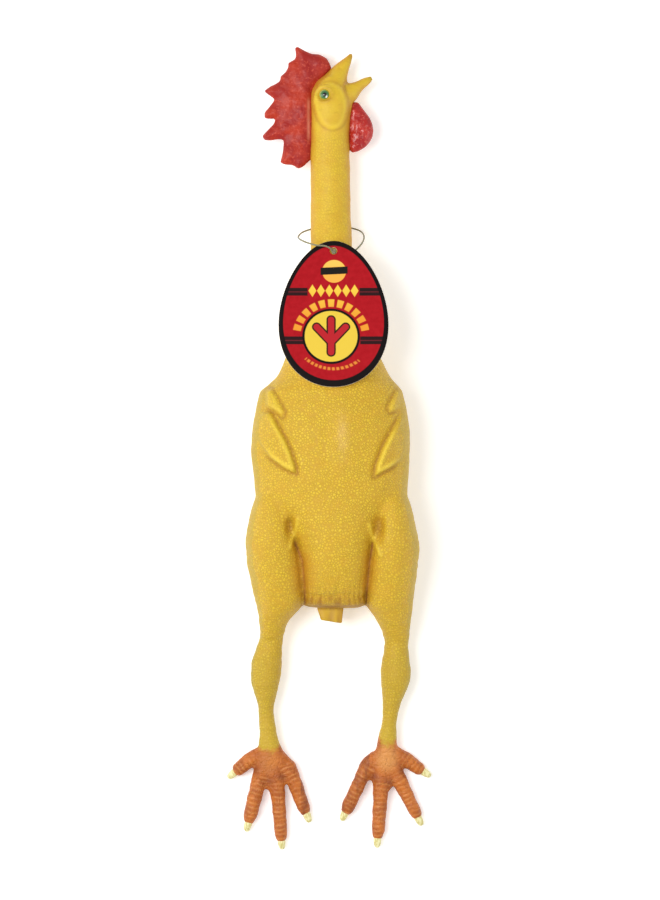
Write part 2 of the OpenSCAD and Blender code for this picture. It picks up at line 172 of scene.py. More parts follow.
@dataclass(frozen=True)
class CastRubber:
    """Soft PVC rubber cast in a mould with a pebbled skin: matt hills with a dull sheen, and painted shade darkening
    the hollows between them.
    """

    name: str = "pebbled_cast_rubber"
    hill: str = "e3c02c"
    # Painted shade: the colour put into the gaps between the pebbles and the dips of the wrinkles
    hollow_shade: str = "b98c1c"
    warm: str = "d3a024"
    # Painted shade in the creases, pits and hems, and round the wings, face and toes
    crease: str = "8a4713"
    # Olive: the lower legs' and beak tips' own tone, and painted shade on the torso's sides
    olive: str = "b39a2a"
    # Painted shade: a warm darker tint on side-facing edges, along the beak and beside the thigh creases
    warm_shade: str = "cb8a24"
    # Painted highlight on raised ridges: the wings' inner edges, the folds and the cheek pad
    ridge_highlight: str = "f4d540"
    glint: str = "ecc47c"
    paint: str = "c76d22"
    paint_dark: str = "ac581a"
    # Painted highlight on the foot paint
    paint_highlight: str = "e8a258"
    # Painted shade in the creases of the orange foot paint
    paint_in_shade: str = "74300f"
    pebble_mm: float = 1.8
    scute_mm: float = 4.6

    def material(self) -> bpy.types.Material:
        """Builds the node material."""
        p = Painter(self.name)
        where = p.add("place")
        wander = p.add("noise", where, scale_of(7.0))
        # The cells are pushed about a little, so that no two pebbles are alike
        push = p.add("noise", where, scale_of(3.0), out=1)
        moved = p.add("shift", where, p.add("shrink", push, 0.9 * MM))
        pebble = p.add("ramp", p.add("cells", moved, scale_of(self.pebble_mm)), 0.0, 0.3)
        fine = p.add("noise", where, scale_of(0.9), 3.0, 0.6)
        wrinkle = p.add("noise", p.add("stretch", where, (0.28, 1.0, 0.5)), scale_of(1.7), 2.0, 0.55)
        calm = p.add("mask", attribute_name="calm")
        # Painted shade: the gaps between the pebbles and the dips of the wrinkles take the hollow colour, and the calm
        # parts a little of it all over
        shade = p.add("MULTIPLY", p.add("SUBTRACT", 1.0, pebble), p.add("SUBTRACT", 1.0, calm))
        base = p.add("mix", p.add("MULTIPLY_ADD", calm, 0.22, p.add("MULTIPLY", shade, 0.75)), self.hill, self.hollow_shade)
        base = p.add("mix", p.add("MULTIPLY", p.add("ramp", wander, 0.35, 0.75), 0.45), base, self.warm)
        base = p.add("mix", p.add("MULTIPLY", p.add("ramp", wrinkle, 0.56, 0.75), 0.35), base, self.hollow_shade)
        # The olive tone, partly painted shade; painted shade in creases and on edges; painted highlights on ridges and
        # the breast's keel
        for tone_or_light, tint in (("olive", self.olive), ("crease", self.crease), ("warm_shade", self.warm_shade),
                           ("ridge_highlight", self.ridge_highlight), ("glint", self.glint)):
            base = p.add("mix", p.add("mask", attribute_name=tone_or_light), base, tint)
        plate = p.add("ramp", p.add("cells", moved, scale_of(self.scute_mm)), 0.02, 0.16)
        coat = p.add("mix", p.add("ramp", wander, 0.3, 0.7), self.paint_dark, self.paint)
        # Painted highlights on the tops of the toe rings and the foot plates
        coat = p.add("mix", p.add("MULTIPLY", p.add("mask", attribute_name="scutes"), 0.85), coat, self.paint_highlight)
        # Painted shade: the foot paint darkens in its creases and between the toes
        coat = p.add("mix", p.add("mask", attribute_name="crease"), coat, self.paint_in_shade)
        speckle = p.add("MULTIPLY_ADD", p.add("noise", where, scale_of(2.4), 3.0), 0.8, -0.4)
        painted = p.add("ramp", p.add("ADD", p.add("mask", attribute_name="paint"), speckle), 0.15, 0.85)
        colour = p.add("mix", painted, base, coat)
        height = p.add("MULTIPLY", pebble, p.add("SUBTRACT", 1.0, calm))
        height = p.add("ADD", height, p.add("MULTIPLY", fine, 0.35))
        height = p.add("ADD", height, p.add("MULTIPLY", wrinkle, 0.9))
        rough = p.add("MULTIPLY_ADD", painted, -0.08, 0.5)
        low = p.add("bump", p.add("MULTIPLY", plate, painted), 0.25 * MM)
        return p.finish(colour, p.add("ADD", rough, p.add("MULTIPLY", fine, 0.1)),
                        p.add("bump", height, 0.26 * MM, 0.9, low), IOR=1.46)


@dataclass(frozen=True)
class PaintedComb:
    """Red enamel brushed on cast rubber: glossy where the paint lies thick, with small bright flecks on its grain."""

    name: str
    base: str = "b8341d"
    dark: str = "a0211b"
    light: str = "d25640"
    grain_mm: float = 1.5
    gloss: float = 0.42
    depth_mm: float = 0.3
    coat: float = 0.05

    def material(self) -> bpy.types.Material:
        """Builds the node material."""
        p = Painter(self.name)
        where = p.add("place")
        cloud = p.add("noise", where, scale_of(11.0), 2.0)
        grain = p.add("noise", where, scale_of(self.grain_mm), 3.0, 0.6)
        fleck = p.add("ramp", p.add("noise", where, scale_of(1.7), 2.0), 0.54, 0.7)
        colour = p.add("mix", p.add("ramp", cloud, 0.35, 0.65), self.dark, self.base)
        colour = p.add("mix", p.add("MULTIPLY", fleck, 0.55), colour, self.light)
        # A painted highlight along the comb's rim by the head, and painted shade between the ridges
        for tone_or_light, tint in (("rim", "d98468"), ("crease", "861a14")):
            colour = p.add("mix", p.add("mask", attribute_name=tone_or_light), colour, tint)
        height = p.add("ADD", grain, p.add("MULTIPLY", p.add("cells", where, scale_of(3.2)), 0.8))
        return p.finish(colour, p.add("MULTIPLY_ADD", grain, 0.15, self.gloss),
                        p.add("bump", height, self.depth_mm * MM, 0.9), IOR=1.38, Coat_Weight=self.coat,
                        Coat_Roughness=0.2)


@dataclass(frozen=True)
class HornPaint:
    """Cream paint on the rubber claws: satin, a little darker and greener in the dips."""

    name: str = "cream_painted_claw"

    def material(self) -> bpy.types.Material:
        """Builds the node material."""
        p = Painter(self.name)
        where = p.add("own")
        streak = p.add("noise", p.add("stretch", where, (1.0, 0.35, 1.0)), scale_of(1.2), 3.0)
        colour = p.add("mix", p.add("ramp", streak, 0.35, 0.65), "d2c57c", "f2ebb4")
        return p.finish(colour, p.add("MULTIPLY_ADD", streak, 0.2, 0.3), p.add("bump", streak, 0.12 * MM, 0.7), IOR=1.5)


@dataclass(frozen=True)
class EyePaint:
    """Gloss enamel on the cast eye: black pupil, green iris and an olive rim, brushed by hand in rings."""

    name: str = "enamel_eye"

    def material(self) -> bpy.types.Material:
        """Builds the node material; the ring attribute runs from the pupil's middle out to the lid."""
        p = Painter(self.name)
        where = p.add("own")
        hand = p.add("MULTIPLY_ADD", p.add("noise", where, scale_of(0.9), 2.0), 0.16, -0.08)
        ring = p.add("ADD", p.add("mask", attribute_name="ring"), hand)
        colour = p.add("mix", p.add("ramp", ring, 0.3, 0.42), "10130e", "477a48")
        colour = p.add("mix", p.add("ramp", ring, 0.62, 0.74), colour, "93a23c")
        colour = p.add("mix", p.add("ramp", ring, 0.84, 0.97), colour, "d6b036")
        return p.finish(colour, 0.14, p.add("bump", p.add("noise", where, scale_of(0.7)), 0.03 * MM, 0.5), IOR=1.5,
                        Coat_Weight=0.8, Coat_Roughness=0.05)


@dataclass(frozen=True)
class CatchLight:
    """A painted catch light on the eye: white enamel that stands in for a reflection."""

    name: str = "painted_catch_light"

    def material(self) -> bpy.types.Material:
        """Builds the node material."""
        p = Painter(self.name)
        cloud = p.add("noise", p.add("own"), scale_of(0.6))
        return p.finish(p.add("mix", cloud, "dfe6d6", "fbfdf6"), 0.2, p.add("bump", cloud, 0.05 * MM, 0.4), IOR=1.5)


@dataclass(frozen=True)
class TwistedCord:
    """Elastic cord with a braided cover: olive-grey threads that run slantwise round it."""

    name: str = "braided_elastic_cord"
    thread_mm: float = 0.55

    def material(self) -> bpy.types.Material:
        """Builds the node material on the cord's own U and V."""
        p = Painter(self.name)
        uv = p.add("uv")
        turn = p.add("MULTIPLY", p.add("axis", uv), 1 / (2 * self.thread_mm * MM))
        lay = p.add("MULTIPLY", p.add("axis", uv, out=1), 2)
        one, two = [p.add("ABSOLUTE", p.add("SINE", p.add("MULTIPLY", p.add(slant, turn, lay), math.pi)))
                    for slant in ("ADD", "SUBTRACT")]
        weave = p.add("MULTIPLY", one, two)
        colour = p.add("mix", p.add("ramp", weave, 0.0, 0.5), "57553b", "8f8d6a")
        return p.finish(colour, p.add("MULTIPLY_ADD", weave, -0.2, 0.7), p.add("bump", weave, 0.08 * MM, 0.8), IOR=1.5,
                        Sheen_Weight=0.3)


@dataclass(frozen=True)
class TagPrint:
    """Coated card printed in red, black and yellow inks: crisp edges, satin varnish, fibres showing faintly."""

    name: str = "printed_coated_card"
    width: float = TAG_WIDTH
    height: float = TAG_HEIGHT
    top: float = TAG_TOP
    taper: float = TAG_TAPER
    border: float = 0.914
    disc: Tuple[float, float] = (-1.6, -59.2)
    disc_r: float = 17.5
    line_ys: Tuple[float, float] = (-28.4, -62.0)

    def material(self) -> bpy.types.Material:
        """Builds the print from shapes measured in millimetres from the tag's hole."""
        p = Painter(self.name)
        uv = p.add("uv")
        x, y = p.add("axis", uv), p.add("axis", uv, out=1)

        def soft(distance: Socket, edge: float, blur: float = 0.22) -> Socket:
            """One inside an edge and nought outside it."""
            return p.add("ramp", distance, edge - blur, edge + blur, 1.0, 0.0)

        def both(*parts: Socket) -> Socket:
            """All of several masks."""
            made = parts[0]
            for part in parts[1:]:
                made = p.add("MULTIPLY", made, part)
            return made

        def far(dx: Socket, dy: Socket) -> Socket:
            """Length of a step across and up."""
            return p.add("SQRT", p.add("ADD", p.add("MULTIPLY", dx, dx), p.add("MULTIPLY", dy, dy)))

        def around(cx: float, cy: float) -> Socket:
            """Distance from a centre."""
            return far(p.add("SUBTRACT", x, cx), p.add("SUBTRACT", y, cy))

        def off(value: Socket, centre: float) -> Socket:
            """Distance from a line."""
            return p.add("ABSOLUTE", p.add("SUBTRACT", value, centre))

        def repeat(value: Socket, pitch: float) -> Socket:
            """Distance from the middle of each of a row of even steps."""
            return p.add("ABSOLUTE", p.add("SUBTRACT", p.add("FLOORED_MODULO", value, pitch), pitch / 2))

        rise = p.add("MULTIPLY", p.add("SUBTRACT", y, self.top - self.height / 2), 2 / self.height)
        half_width = p.add("MULTIPLY", p.add("MULTIPLY_ADD", rise, -self.taper, 1.0), self.width / 2)
        egg = far(p.add("DIVIDE", x, half_width), rise)
        fibre = p.add("noise", p.add("own"), scale_of(3.0), 4.0)
        red = p.add("mix", p.add("ramp", fibre, 0.3, 0.7), "a60f1a", "b0141f")
        black, yellow = "120b0c", p.add("mix", p.add("ramp", y, -50.0, -20.0), "ea9a32", "f2cf4a")
        colour = red
        # Two bars of black ink at each side of the field, each split by a thin red line
        for level, reach in ((self.line_ys[0], 17.2), (self.line_ys[1], 17.6)):
            rule = both(soft(off(y, level), 2.7), p.add("ramp", p.add("ABSOLUTE", x), reach - 0.3, reach + 0.3))
            gap = both(soft(off(y, level - 0.1), 0.35), rule)
            colour = p.add("mix", rule, colour, "2a1416")
            colour = p.add("mix", p.add("MULTIPLY", gap, 0.5), colour, "8d2a33")
        # A row of plain lozenges where a heading would be
        step = 5.6
        lozenge = p.add("ADD", p.add("MULTIPLY", repeat(p.add("ADD", x, step * 4), step), 1.65), off(y, -27.7))
        row = both(soft(lozenge, 4.3, 0.35), soft(p.add("ABSOLUTE", x), step * 3))
        colour = p.add("mix", row, colour, yellow)
        # An arch of plain blocks over the disc
        cx, cy = self.disc
        ring = around(cx, cy)
        angle = p.add("ARCTAN2", p.add("SUBTRACT", x, cx), p.add("SUBTRACT", y, cy))
        pitch = math.radians(15.0)
        tick = repeat(p.add("ADD", angle, pitch * 12.5), pitch)
        arch = both(soft(off(ring, 23.0), 2.6, 0.35), soft(tick, pitch * 0.33, 0.012),
                    soft(p.add("ABSOLUTE", angle), math.radians(82.5), 0.01))
        colour = p.add("mix", arch, colour, yellow)
        # A fine dotted curve below it
        dot = repeat(p.add("ADD", angle, 10 * pitch), pitch / 2)
        curve = both(soft(off(around(cx + 1.6, cy + 5.0), 27.4), 1.0, 0.4), soft(dot, pitch * 0.16, 0.02),
                     p.add("ramp", p.add("ABSOLUTE", angle), math.radians(131), math.radians(133)))
        colour = p.add("mix", p.add("MULTIPLY", curve, 0.85), colour, "e8923a")
        # The yellow disc in its black ring, with a plain bird's footprint
        colour = p.add("mix", soft(ring, self.disc_r + 1.6), colour, black)
        colour = p.add("mix", soft(ring, self.disc_r), colour, "e6c544")
        sx = p.add("ABSOLUTE", p.add("SUBTRACT", x, cx))

        def toe(ax: float, ay: float, bx: float, by: float, thick: float) -> Socket:
            """A rounded bar between two points, mirrored about the disc's middle."""
            length = math.hypot(bx - ax, by - ay)
            ux, uy = (bx - ax) / length, (by - ay) / length
            rx, ry = p.add("SUBTRACT", sx, ax), p.add("SUBTRACT", y, cy + ay)
            run = p.add("ADD", p.add("MULTIPLY", rx, ux), p.add("MULTIPLY", ry, uy))
            run = p.add("MINIMUM", p.add("MAXIMUM", run, 0.0), length)
            ex = p.add("SUBTRACT", rx, p.add("MULTIPLY", run, ux))
            ey = p.add("SUBTRACT", ry, p.add("MULTIPLY", run, uy))
            return p.add("SUBTRACT", far(ex, ey), thick)

        print_ = p.add("MINIMUM", toe(0, -11.0, 0, 11.5, 2.1), toe(0, -4.0, 9.6, 6.5, 2.1))
        colour = p.add("mix", soft(print_, 1.0), colour, "2a1a12")
        colour = p.add("mix", soft(print_, 0.0), colour, "b8232b")
        # A small orange disc crossed by a plain black bar near the hole
        badge = around(0.4, -14.2)
        colour = p.add("mix", soft(badge, 7.9), colour, p.add("mix", p.add("ramp", y, -17.0, -8.0), "f6b14a", "f7c65a"))
        bar = both(soft(off(p.add("MULTIPLY_ADD", x, -0.05, y), -13.8), 2.5), soft(off(x, 0.4), 9.0))
        colour = p.add("mix", bar, colour, "1c1a16")
        # The border
        rim = p.add("SUBTRACT", egg, p.add("MULTIPLY", rise, 0.012))
        colour = p.add("mix", p.add("ramp", rim, self.border, self.border + 0.012), colour, black)
        return p.finish(colour, p.add("MULTIPLY_ADD", fibre, 0.12, 0.3), p.add("bump", fibre, 0.03 * MM, 0.5), IOR=1.25)


@dataclass(frozen=True)
class PlainCard:
    """The tag's back and cut edge: uncoated pulp board, off-white with grey fibres."""

    name: str = "uncoated_pulp_board"

    def material(self) -> bpy.types.Material:
        """Builds the node material."""
        p = Painter(self.name)
        where = p.add("own")
        fibre = p.add("noise", p.add("stretch", where, (1.0, 0.25, 1.0)), scale_of(1.1), 4.0, 0.65)
        colour = p.add("mix", p.add("ramp", fibre, 0.35, 0.7), "e9e2d2", "cfc5b1")
        return p.finish(colour, 0.85, p.add("bump", fibre, 0.05 * MM, 0.6), IOR=1.48)


@dataclass(frozen=True)
class StudioFloor:
    """A pale matt sweep of paper."""

    name: str = "pale_paper_sweep"

    def material(self) -> bpy.types.Material:
        """Builds the node material."""
        p = Painter(self.name)
        cloud = p.add("noise", p.add("own"), scale_of(400.0))
        return p.finish(p.add("mix", cloud, "f8f8f7", "fafafa"), 0.9, Emission_Color=linear("ffffff"),
                        Emission_Strength=0.32)


# ---- Mesh tools ----


def choose(*objects: bpy.types.Object) -> None:
    """Selects only these objects and makes the first one active."""
    if bpy.context.mode != "OBJECT":
        bpy.ops.object.mode_set(mode="OBJECT")
    bpy.ops.object.select_all(action="DESELECT")
    for obj in objects:
        obj.select_set(True)
    bpy.context.view_layer.objects.active = objects[0]


def modify(obj: bpy.types.Object, kind: str, **settings) -> None:
    """Adds a modifier with its settings and applies it."""
    made = obj.modifiers.new(kind.lower(), kind)
    for name, value in settings.items():
        setattr(made, name, value)
    choose(obj)
    bpy.ops.object.modifier_apply(modifier=made.name)


def mesh_object(name: str, points: Array, faces: Sequence[Sequence[int]]) -> bpy.types.Object:
    """Makes an object from points in millimetres and faces.

    Args:
        name: The piece's name.
        points: One row for each point.
        faces: Point numbers of each face.

    Returns:
        The object, linked to the scene.
    """
    mesh = bpy.data.meshes.new(name)
    mesh.from_pydata((np.asarray(points, float) * MM).tolist(), [], [list(f) for f in faces])
    mesh.validate()
    obj = bpy.data.objects.new(name, mesh)
    bpy.context.scene.collection.objects.link(obj)
    return obj


def points_of(obj: bpy.types.Object) -> Array:
    """The mesh's points in millimetres."""
    flat = np.empty(len(obj.data.vertices) * 3, np.float32)
    obj.data.vertices.foreach_get("co", flat)
    return flat.reshape(-1, 3).astype(float) / MM


def put_points(obj: bpy.types.Object, points: Array) -> None:
    """Moves the mesh's points to places in millimetres."""
    obj.data.vertices.foreach_set("co", (points * MM).astype(np.float32).ravel())
    obj.data.update()


def normals_of(obj: bpy.types.Object) -> Array:
    """The smooth normal at each point."""
    flat = np.empty(len(obj.data.vertices) * 3, np.float32)
    obj.data.vertex_normals.foreach_get("vector", flat)
    return flat.reshape(-1, 3).astype(float)


def edges_of(obj: bpy.types.Object) -> Array:
    """Point numbers of each edge."""
    flat = np.empty(len(obj.data.edges) * 2, np.int32)
    obj.data.edges.foreach_get("vertices", flat)
    return flat.reshape(-1, 2)


def relax(obj: bpy.types.Object, rounds: int, weight: Callable[[Array], Array]) -> None:
    """Draws each point towards its neighbours, more where the weight is higher."""
    points, edges = points_of(obj), edges_of(obj)
    count = np.maximum(np.bincount(edges.ravel(), minlength=len(points)), 1)[:, None]
    share = np.clip(weight(points), 0, 1)[:, None]
    for _ in range(rounds):
        total = np.stack([np.bincount(edges[:, 0], points[edges[:, 1], k], len(points))
                          + np.bincount(edges[:, 1], points[edges[:, 0], k], len(points)) for k in range(3)], 1)
        points += share * (total / count - points)
    put_points(obj, points)


def store(obj: bpy.types.Object, name: str, values: Array) -> None:
    """Keeps a number or a place on each point, for the finishes to read."""
    kind, field_name = ("FLOAT_VECTOR", "vector") if values.ndim == 2 else ("FLOAT", "value")
    layer = obj.data.attributes.new(name, kind, "POINT")
    layer.data.foreach_set(field_name, values.astype(np.float32).ravel())


def through(rows: Rows, steps: int) -> Array:
    """Rows of numbers on a smooth line through the given rows."""
    rows = np.asarray(rows, float)
    made: List[Array] = []
    last = len(rows) - 1
    for i in range(last):
        a, b, c, d = rows[max(i - 1, 0)], rows[i], rows[i + 1], rows[min(i + 2, last)]
        for j in range(steps):
            t = j / steps
            made.append(0.5 * (2 * b + (c - a) * t + (2 * a - 5 * b + 4 * c - d) * t ** 2
                               + (3 * b - a - 3 * c + d) * t ** 3))
    return np.array(made + [rows[last]])


def ring_faces(rings: int, sides: int, closed: bool = False) -> List[List[int]]:
    """Faces of a tube of rings, whose ends are filled or, on a closed tube, joined to each other."""
    faces = []
    for j in range(rings if closed else rings - 1):
        a, b = j * sides, (j + 1) % rings * sides
        faces += [[a + k, a + (k + 1) % sides, b + (k + 1) % sides, b + k] for k in range(sides)]
    if closed:
        return faces
    return faces + [list(range(sides - 1, -1, -1)), list(range((rings - 1) * sides, rings * sides))]


def outward(obj: bpy.types.Object) -> bpy.types.Object:
    """Turns all faces outwards."""
    choose(obj)
    bpy.ops.object.mode_set(mode="EDIT")
    bpy.ops.mesh.select_all(action="SELECT")
    bpy.ops.mesh.normals_make_consistent(inside=False)
    bpy.ops.object.mode_set(mode="OBJECT")
    return obj


def loft(name: str, rows: Rows, steps: int = 4, sides: int = 56, power: float = 2.25) -> bpy.types.Object:
    """A closed form through oval sections across Y.

    Args:
        name: The object's name.
        rows: For each section its y, left and right edge, underside and top, in millimetres.
        steps: Sections made between two rows.
        sides: Points round each section.
        power: Two for an ellipse, more for a fuller section.

    Returns:
        The form.
    """
    turn = np.linspace(0, 2 * math.pi, sides, endpoint=False)
    c, s = np.cos(turn), np.sin(turn)
    c, s = np.sign(c) * np.abs(c) ** (2 / power), np.sign(s) * np.abs(s) ** (2 / power)
    points = [np.stack([(l + r) / 2 + (r - l) / 2 * c, np.full(sides, y),
                        np.maximum((b + t) / 2 + (t - b) / 2 * s, FORM_FLOOR)], 1)
              for y, l, r, b, t in through(rows, steps)]
    return outward(mesh_object(name, np.concatenate(points), ring_faces(len(points), sides)))


def tube(name: str, route: Rows, radii: Rows, steps: int = 4, sides: int = 24) -> bpy.types.Object:
    """A closed form that follows a route, with a width and a height at each point of it."""
    line, size = through(route, steps), through(radii, steps)
    way = np.gradient(line, axis=0)
    way /= np.linalg.norm(way, axis=1)[:, None]
    side = np.cross(way, [0, 0, 1.0])
    side /= np.maximum(np.linalg.norm(side, axis=1), 1e-9)[:, None]
    up = np.cross(side, way)
    turn = np.linspace(0, 2 * math.pi, sides, endpoint=False)[None, :, None]
    points = (line[:, None] + np.cos(turn) * (side * size[:, :1])[:, None]
              + np.sin(turn) * (up * size[:, 1:2])[:, None])
    return outward(mesh_object(name, points.reshape(-1, 3), ring_faces(len(line), sides)))


def joined(name: str, parts: Sequence[bpy.types.Object]) -> bpy.types.Object:
    """Joins forms into one object."""
    choose(*parts)
    bpy.ops.object.join()
    parts[0].name = parts[0].data.name = name
    return parts[0]


def prism(outline: Outline, low: float = -20.0, high: float = 110.0, name: str = "cutter") -> bpy.types.Object:
    """An upright block with that outline, for cutting or to start a flap from."""
    n = len(outline)
    points = [(x, y, z) for z in (low, high) for x, y in outline]
    faces = [list(range(n)), list(range(n, 2 * n))] + [[k, (k + 1) % n, n + (k + 1) % n, n + k] for k in range(n)]
    return outward(mesh_object(name, np.array(points), faces))


def take(source: bpy.types.Object, outline: Outline, name: str) -> bpy.types.Object:
    """Cuts the part of a skin inside an outline away as a piece of its own; both keep closed walls."""
    cutter = prism(outline)
    piece = source.copy()
    piece.data = source.data.copy()
    piece.name = piece.data.name = name
    bpy.context.scene.collection.objects.link(piece)
    modify(piece, "BOOLEAN", operation="INTERSECT", solver="MANIFOLD", object=cutter)
    modify(source, "BOOLEAN", operation="DIFFERENCE", solver="MANIFOLD", object=cutter)
    bpy.data.objects.remove(cutter)
    return piece


def band(low: float, high: float, left: float = -90.0, right: float = 90.0) -> List[Tuple[float, float]]:
    """A rectangle between two Y and two X values."""
    return [(left, low), (right, low), (right, high), (left, high)]


def bell(offset: Array, width: float, across: Union[Array, float] = 0.0, breadth: float = 1.0) -> Array:
    """A smooth hump that is one where the offsets are nought and fades over the widths."""
    return np.exp(-(offset / width) ** 2 - (across / breadth) ** 2)


def step(value: Array, low: float, high: float) -> Array:
    """A smooth rise from nought at low to one at high."""
    t = np.clip((value - low) / (high - low), 0, 1)
    return t * t * (3 - 2 * t)


def away(points: Array, line: Outline) -> Array:
    """Distance of each point from a line of straight runs, seen from above."""
    flat = points[:, :2]
    best = np.full(len(points), 1e9)
    for a, b in zip(np.asarray(line, float)[:-1], np.asarray(line, float)[1:]):
        run = np.clip(((flat - a) @ (b - a)) / max((b - a) @ (b - a), 1e-9), 0, 1)
        best = np.minimum(best, np.linalg.norm(flat - a - run[:, None] * (b - a), axis=1))
    return best


def inside(points: Array, outline: Outline) -> Array:
    """Depth inside an outline seen from above; negative outside it."""
    ring = list(outline) + [outline[0]]
    x, y = points[:, 0], points[:, 1]
    odd = np.zeros(len(points), bool)
    for (ax, ay), (bx, by) in zip(ring[:-1], ring[1:]):
        if ay != by:
            odd ^= ((ay > y) != (by > y)) & (x < (bx - ax) * (y - ay) / (by - ay) + ax)
    return np.where(odd, 1, -1) * away(points, ring)


def lattice_noise(points: Array, size: float, seed: int) -> Array:
    """Smooth noise from -1 to 1 on a lattice of that size, the same on every run."""
    p = points / size
    low = np.floor(p).astype(np.int64)
    f = p - low
    f = f * f * (3 - 2 * f)
    made = np.zeros(len(p))
    for dx in (0, 1):
        for dy in (0, 1):
            for dz in (0, 1):
                # A hash of the lattice corner by large odd numbers, then one step of a congruential generator
                key = ((low[:, 0] + dx) * 73856093 ^ (low[:, 1] + dy) * 19349663
                       ^ (low[:, 2] + dz) * 83492791 ^ seed * 2654435761)
                value = ((key * 1103515245 + 12345) & 0x7FFFFFFF) / 0x3FFFFFFF - 1
                w = (np.where(dx, f[:, 0], 1 - f[:, 0]) * np.where(dy, f[:, 1], 1 - f[:, 1])
                     * np.where(dz, f[:, 2], 1 - f[:, 2]))
                made += w * value
    return made


def smooth_shade(obj: bpy.types.Object, angle: float = 50.0) -> None:
    """Shades a piece smooth, with edges sharper than the angle kept crisp."""
    choose(obj)
    bpy.ops.object.shade_smooth_by_angle(angle=math.radians(angle))


def hand_in(obj: bpy.types.Object, material: bpy.types.Material, nodes: Sequence[str]) -> None:
    """Gives a piece its finish, hides the imported solids that it stands for and logs its face count."""
    if material.name not in [m.name for m in obj.data.materials if m]:
        obj.data.materials.clear()
        obj.data.materials.append(material)
    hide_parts(*nodes)
    log.info("%s: %d faces", obj.name, len(obj.data.polygons))


def metres(point: Sequence[float]) -> Point:
    """A point in metres from millimetres."""
    return tuple(float(v) * MM for v in point)


# ---- Studio ----


@dataclass
class Studio:
    """The camera straight above, a pale floor and soft light."""

    scale: float = 0.67          # millimetres to each of the frame's 900 steps in height
    frame_height: int = 900
    height: float = 3.2
    level: float = 0.022         # height at which the scale holds
    centre: Tuple[float, float] = (-0.00134, -0.00034)
    sensor: float = 36.0
    sweep: float = 4000.0        # half the floor's side, in millimetres
    gap: float = 0.2             # the floor lies this far under the chicken, so that they don't flicker
    lamps: Tuple[Tuple[str, Point, float, float], ...] = (
        ("softbox_key", (-0.8, 0.1, 1.8), 0.9, 23.5),
        ("softbox_left", (-1.7, -0.2, 1.2), 1.2, 8.6),
        ("softbox_right", (1.6, -0.3, 1.4), 1.2, 11.8))
    sky: float = 0.41

    def build(self) -> None:
        """Makes the camera, the floor and the lamps."""
        data = bpy.data.cameras.new("camera")
        data.sensor_fit = "VERTICAL"
        data.sensor_height = self.sensor
        data.lens = self.sensor * (self.height - self.level) / (self.scale * MM * self.frame_height)
        camera = bpy.data.objects.new("camera", data)
        camera.location = (*self.centre, self.height)
        bpy.context.scene.collection.objects.link(camera)
        bpy.context.scene.camera = camera
        corners = [(a * self.sweep, b * self.sweep, -self.gap) for a, b in ((-1, -1), (1, -1), (1, 1), (-1, 1))]
        floor = mesh_object("floor", np.array(corners), [[0, 1, 2, 3]])
        floor.data.materials.append(StudioFloor().material())
        for name, place, size, power in self.lamps:
            lamp = bpy.data.lights.new(name, "AREA")
            lamp.shape, lamp.size, lamp.energy = "SQUARE", size, power
            obj = bpy.data.objects.new(name, lamp)
            obj.location = place
            obj.rotation_euler = (Vector((0, 0, 0)) - Vector(place)).to_track_quat("-Z", "Y").to_euler()
            bpy.context.scene.collection.objects.link(obj)
        world = bpy.data.worlds.new("studio")
        world.use_nodes = True
        world.node_tree.nodes["Background"].inputs[0].default_value = linear("ffffff")
        world.node_tree.nodes["Background"].inputs[1].default_value = self.sky
        bpy.context.scene.world = world
        bpy.context.scene.view_settings.view_transform = "Standard"


# ---- Cord, knot and tag ----

TAG_HOLE = (1.0, 132.0, 43.5)


